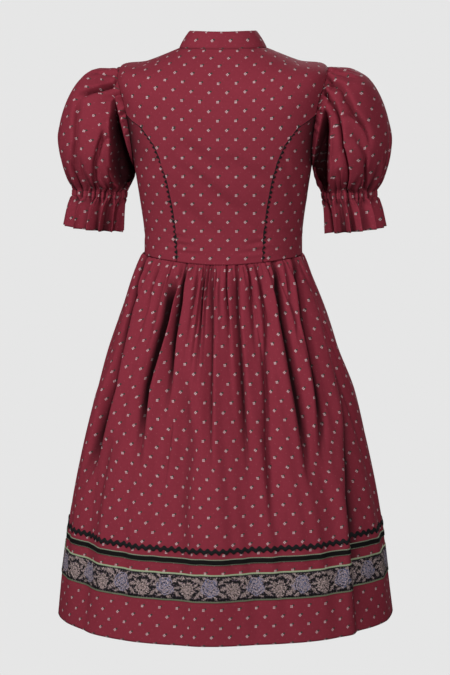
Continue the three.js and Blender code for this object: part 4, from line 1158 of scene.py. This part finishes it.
floral_finish, tree, bsdf, places = shader("floral_ribbon", 0.7)
ribbon_weave = placed_group(tree, weave_tree, places, Threads_per_mm=1.3)
across, up = cloth_axes(tree, places)
ground = blend_colour(tree, ribbon_weave.outputs["Shade"], (0.004, 0.0035, 0.004), (0.012, 0.010, 0.012))
pale = blend_colour(tree, ribbon_weave.outputs["Shade"], (0.120, 0.090, 0.084), (0.40, 0.30, 0.28))
blue = blend_colour(tree, ribbon_weave.outputs["Shade"], (0.040, 0.052, 0.112), (0.112, 0.138, 0.262))
green = blend_colour(tree, ribbon_weave.outputs["Shade"], (0.19, 0.23, 0.13), (0.34, 0.39, 0.26))

FLOWER_PITCH, ROSE_AT, CARNATION_AT = 88.0, 20.0, 66.0  # along the ribbon, in millimetres
RIBBON_MIDDLE, RIBBON_EDGE = 25.2, 2.6


def polar(x, y):
    return x.distance(y), y.sum_of("ARCTAN2", x)


def stray_of(scale, detail=2.0):
    """Unevenness of the ribbon's drawing, from about -0.5 to 0.5."""
    return Field(tree, noise(tree, places, scale, detail)) - 0.5


# The weaver's drawing wanders a little, so that no two flowers of the repeat come out quite the same,
# and each colour is flecked where its threads dive under the black ground.
wander, stray, flecks = stray_of(95.0), stray_of(60.0), stray_of(620.0, 1.0)
wide, high = across + wander * 11.0, up + stray * 9.0
flecked = flecks.within(0.045, 0.05)
# The rose: three whorls of cupped petals, in blue with pale edges.
x, y = wide.from_repeat(FLOWER_PITCH, ROSE_AT), high - RIBBON_MIDDLE - 0.5
reach, turn = polar(x, y)
rose = (reach + (turn * 5.0 + 0.4).sine() * 1.6 + (turn * 3.0 + 0.8).sine() * 0.9).within(16.5, 0.8)
outer_whorl = (reach * 0.95 + abs((turn * 2.5 + 0.4).sine()) * 2.4 + stray * 7.0).sine()
inner_whorl = (reach * 1.2 - abs((turn * 2.0 + 1.2).sine()) * 2.2 + wander * 8.0 + 0.6).sine()
whorls = outer_whorl.least(inner_whorl + 0.6)
rose_fill = whorls.within(0.35, 0.4)
rose_edge = whorls.within(-0.8, 0.2)
# The carnation: a fan of notched petals, streaked from its base, in beige.
x = wide.from_repeat(FLOWER_PITCH, CARNATION_AT)
reach, turn = polar(x + 2.0, y + 4.0)
notched = (turn * 11.0).sine() * 1.8 + (turn * 4.0).sine() * 1.6
carnation = (reach + notched).within(13.5, 0.8)
streaks = ((turn * 15.0 + reach * 0.35).sine() + (reach * 0.9).sine() * 0.8).within(0.0, 0.6)
# Leaves and sprigs in a wreath between the flowers, each a narrow pointed oval: its place along and up
# the ribbon, its slant and its length.
LEAVES = [
    (40.0, 37.5, 0.7, 9.5), (43.5, 13.0, -0.7, 9.5), (86.0, 38.5, 2.3, 9.0), (83.5, 12.5, 0.8, 9.5),
    (52.5, 40.5, 0.1, 8.0), (78.0, 40.0, -0.5, 9.0), (44.5, 25.0, 0.2, 8.5), (86.5, 25.5, 0.1, 7.0),
    (28.5, 43.0, 0.6, 6.5), (8.0, 43.0, -0.5, 6.5), (29.0, 7.6, -0.5, 6.5), (66.0, 7.6, 0.2, 9.0),
    (36.5, 18.5, 2.5, 6.5), (3.0, 16.5, 2.0, 7.0), (80.5, 31.0, 0.9, 6.0), (50.5, 31.5, 2.6, 7.0),
    (52.5, 19.0, 0.6, 7.0), (4.0, 33.0, 1.0, 7.0), (9.0, 7.8, 0.4, 7.0), (66.0, 43.4, -0.1, 7.0),
]
leaves = None
for leaf_x, leaf_y, slant, size in LEAVES:
    x, y = wide.from_repeat(FLOWER_PITCH, leaf_x), high - leaf_y
    along_leaf = x * float(np.cos(slant)) + y * float(np.sin(slant))
    off_leaf = x * float(-np.sin(slant)) + y * float(np.cos(slant))
    off_leaf = abs(off_leaf + (along_leaf * 1.6).sine() * 0.7) / (size * 0.4)
    leaf = (abs(along_leaf) / size + off_leaf).within(1.0, 0.18)
    leaves = leaf if leaves is None else leaves.most(leaf)
veins = (wide * 2.1 + high * 1.3).sine().within(0.35, 0.5)
dots = (wide.from_repeat(5.6, 2.0)).distance(high.from_repeat(5.2, 3.0)).within(0.9, 0.5)
flowers = rose.most(carnation).most(leaves)
bright = flowers * (flecks * -1).within(-0.08, 0.03)
edge = (abs(up - RIBBON_MIDDLE) * -1 + RIBBON_MIDDLE).within(RIBBON_EDGE, 0.5)
MAUVE, FLECK_LIGHT = (0.22, 0.15, 0.20), (0.66, 0.50, 0.49)
colour = ground
for share, thread in (
    (dots * flecked, MAUVE), (leaves, ground), (leaves * veins, pale), (carnation, ground),
    (carnation * streaks, pale), (rose, ground), (rose * rose_fill, blue), (rose * rose_edge, pale),
    ((flecked * -1 + 1) * 0.55, ground), (bright * 0.8, FLECK_LIGHT), (edge, green),
):
    colour = blend_colour(tree, share.socket, colour, thread)
tree.links.new(colour, bsdf.inputs["Base Color"])
height = Field(tree, ribbon_weave.outputs["Height"]) * 0.5 + flowers.most(edge)
add_bump(tree, bsdf, height.socket, 0.0003, 0.6)

floral_ribbon, ribbon_cut = skirt_band("floral_ribbon", FLORAL_LOW, FLORAL_HIGH, 7, floral_finish)
declare(floral_ribbon, "floral_ribbon")

narrow_finish, tree, bsdf, places = shader("narrow_ribbon", 0.8)
ribbed = placed_group(tree, weave_tree, places, Threads_per_mm=1.2)
across, up = cloth_axes(tree, places)
colour = blend_colour(tree, ribbed.outputs["Shade"], (0.0015, 0.0012, 0.0012), (0.006, 0.005, 0.005))
half_width = (NARROW_HIGH - NARROW_LOW) * 500
edge = (abs(up - half_width) * -1 + half_width).within(1.5, 0.4)
colour = blend_colour(tree, edge.socket, colour, (0.19, 0.22, 0.15))
tree.links.new(colour, bsdf.inputs["Base Color"])
add_bump(tree, bsdf, ribbed.outputs["Height"], 0.0003, 0.6)
narrow_ribbon, narrow_cut = skirt_band("narrow_ribbon", NARROW_LOW, NARROW_HIGH, 5, narrow_finish, 0.0003)
declare(narrow_ribbon, "narrow_ribbon")

# ---- Rickrack above the ribbons
# A wider black rickrack with round even scallops, sewn along its middle on top of the skirt.
RICKRACK_MIDDLE, RICKRACK_RISE, RICKRACK_HALF = 0.1715, 0.0022, 0.0038
RICKRACK_WAVES, POINTS_A_WAVE = 172, 12
even = np.linspace(0, 2, 4001)
run = run_along(round_skirt(even, RICKRACK_MIDDLE)[0])
count = RICKRACK_WAVES * POINTS_A_WAVE
turns = np.interp(np.linspace(0, run[-1], count + 1)[:-1], run, even)
wave = RICKRACK_RISE * np.sin(2 * np.pi * np.arange(count) / POINTS_A_WAVE)[None, :]
places_across = np.linspace(1, -1, 5)[:, None]
heights = RICKRACK_MIDDLE + wave + RICKRACK_HALF * places_across
crown = 0.0006 * (1 - places_across**2)
outside = round_skirt(turns, heights, RIBBON_GAP + RIBBON_THICK + crown)
inside = round_skirt(turns, heights, RIBBON_GAP)
wide = np.linspace(0, 2 * SKIRT_CUT_HALF, count + 1)[None, :]
rickrack_cut = np.stack(np.broadcast_arrays(wide, RICKRACK_HALF * (1 + places_across)), -1)
rickrack = cloth_piece("rickrack_braid", outside, inside, rickrack_cut, black_braid, closed=True)
stand_for(rickrack, "rickrack_braid")

# ---- Stitching
# Machine stitches in burgundy thread along the collar, the front strip, the sleeve casings and the ruffle
# hems, and in black along the edges of both ribbons. Each stands a little proud of the cloth.
def stitch_tree():
    """Geometry nodes that lay stitches along the edges of a mesh."""
    tree = bpy.data.node_groups.new("stitches along a line", "GeometryNodeTree")
    sockets = {}
    for label, kind in (
        ("Lines", "NodeSocketGeometry"), ("Pitch", "NodeSocketFloat"), ("Stitch length", "NodeSocketFloat"),
        ("Thread", "NodeSocketFloat"), ("Seed", "NodeSocketInt"), ("Finish", "NodeSocketMaterial"),
    ):
        sockets[label] = tree.interface.new_socket(name=label, in_out="INPUT", socket_type=kind).identifier
    tree.interface.new_socket(name="Stitches", in_out="OUTPUT", socket_type="NodeSocketGeometry")
    node = {
        label: tree.nodes.new(kind)
        for label, kind in (
            ("start", "NodeGroupInput"), ("end", "NodeGroupOutput"), ("curve", "GeometryNodeMeshToCurve"),
            ("even", "GeometryNodeResampleCurve"), ("thread", "GeometryNodeMeshUVSphere"),
            ("size", "ShaderNodeCombineXYZ"), ("shaped", "GeometryNodeTransform"),
            ("tangent", "GeometryNodeInputTangent"), ("aligned", "FunctionNodeAlignRotationToVector"),
            ("uneven", "FunctionNodeRandomValue"), ("placed", "GeometryNodeInstanceOnPoints"),
            ("real", "GeometryNodeRealizeInstances"), ("finish", "GeometryNodeSetMaterial"),
        )
    }
    node["even"].mode = "LENGTH"
    node["aligned"].axis = "Z"
    node["uneven"].data_type = "FLOAT"
    node["uneven"].inputs[2].default_value, node["uneven"].inputs[3].default_value = 0.86, 1.1
    for label, value in (("Segments", 4), ("Rings", 3), ("Radius", 0.5)):
        node["thread"].inputs[label].default_value = value
    for source, given, target, taken in (
        ("start", "Lines", "curve", "Mesh"), ("curve", "Curve", "even", "Curve"),
        ("start", "Pitch", "even", "Length"), ("even", "Curve", "placed", "Points"),
        ("start", "Thread", "size", "X"), ("start", "Thread", "size", "Y"),
        ("start", "Stitch length", "size", "Z"), ("size", 0, "shaped", "Scale"),
        ("thread", "Mesh", "shaped", "Geometry"), ("shaped", "Geometry", "placed", "Instance"),
        ("tangent", 0, "aligned", "Vector"), ("aligned", 0, "placed", "Rotation"),
        ("start", "Seed", "uneven", "Seed"), ("uneven", 1, "placed", "Scale"),
        ("placed", "Instances", "real", "Geometry"), ("real", "Geometry", "finish", "Geometry"),
        ("start", "Finish", "finish", "Material"), ("finish", "Geometry", "end", "Stitches"),
    ):
        tree.links.new(node[source].outputs[given], node[target].inputs[taken])
    return tree, sockets


stitches, stitch_sockets = stitch_tree()


def thread_finish(name, dark, light):
    """Spun thread, a little shiny."""
    finish, tree, bsdf, _ = shader(name, 0.6, sheen=0.1)
    spun = noise(tree, tree.nodes.new("ShaderNodeTexCoord").outputs["Object"], 1400.0)
    tree.links.new(blend_colour(tree, spun, dark, light), bsdf.inputs["Base Color"])
    add_bump(tree, bsdf, spun, 0.0001, 0.5)
    return finish


def sew(name, lines, pitch, length, thread, seed, finish):
    """Rows of stitches along lines of points, as one piece."""
    points = np.concatenate(lines)
    edges, base = [], 0
    for line in lines:
        edges += [(base + i, base + i + 1) for i in range(len(line) - 1)]
        base += len(line)
    path = bpy.data.meshes.new(f"{name}_lines")
    path.from_pydata(points.tolist(), edges, [])
    piece = bpy.data.objects.new(f"{name}_lines", path)
    bpy.context.collection.objects.link(piece)
    rows = piece.modifiers.new("stitches", "NODES")
    rows.node_group = stitches
    values = {"Pitch": pitch, "Stitch length": length, "Thread": thread, "Seed": seed, "Finish": finish}
    for label, value in values.items():
        rows[stitch_sockets[label]] = value
    made = bpy.data.meshes.new_from_object(piece.evaluated_get(bpy.context.evaluated_depsgraph_get()))
    piece.modifiers.clear()
    bpy.data.objects.remove(piece)
    made.name = name
    sewn = bpy.data.objects.new(name, made)
    bpy.context.collection.objects.link(sewn)
    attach(sewn, "root")


burgundy_thread = thread_finish("burgundy_thread", (0.11, 0.011, 0.020), (0.21, 0.025, 0.042))
STITCH_LIFT = 0.0001
black_thread = thread_finish("black_thread", (0.006, 0.006, 0.006), (0.030, 0.030, 0.028))
levels = np.linspace(0.2, 6.9, 120)
strip_lines = [
    figure(angle, levels) + figure_normal(angle, levels) * (PLACKET_LIFT + STITCH_LIFT)
    for angle in placket_edges(levels, inset=0.002)
]
turns = np.linspace(0, 2, RIBBON_COLUMNS + 1)[:-1]
ribbon_lines = []
for height in (FLORAL_LOW + 0.0022, FLORAL_HIGH - 0.002, NARROW_LOW + 0.0009, NARROW_HIGH - 0.0009):
    line = round_skirt(turns, height, RIBBON_GAP + RIBBON_THICK + STITCH_LIFT)
    ribbon_lines.append(np.concatenate([line[0], line[0, :1]]))
for name, lines, pitch, length, thread, seed, finish, slot in (
    ("collar_stitches", collar_lines, 0.0027, 0.0021, 0.00055, 3, burgundy_thread, "printed_cotton"),
    ("strip_stitches", strip_lines, 0.0027, 0.0021, 0.00055, 4, burgundy_thread, "printed_cotton"),
    ("sleeve_stitches", sleeve_lines, 0.0030, 0.0023, 0.00055, 5, burgundy_thread, "printed_cotton"),
    ("ribbon_stitches", ribbon_lines, 0.0040, 0.0028, 0.00045, 6, black_thread, "narrow_ribbon"),
):
    sew(name, lines, pitch, length, thread, seed, finish)
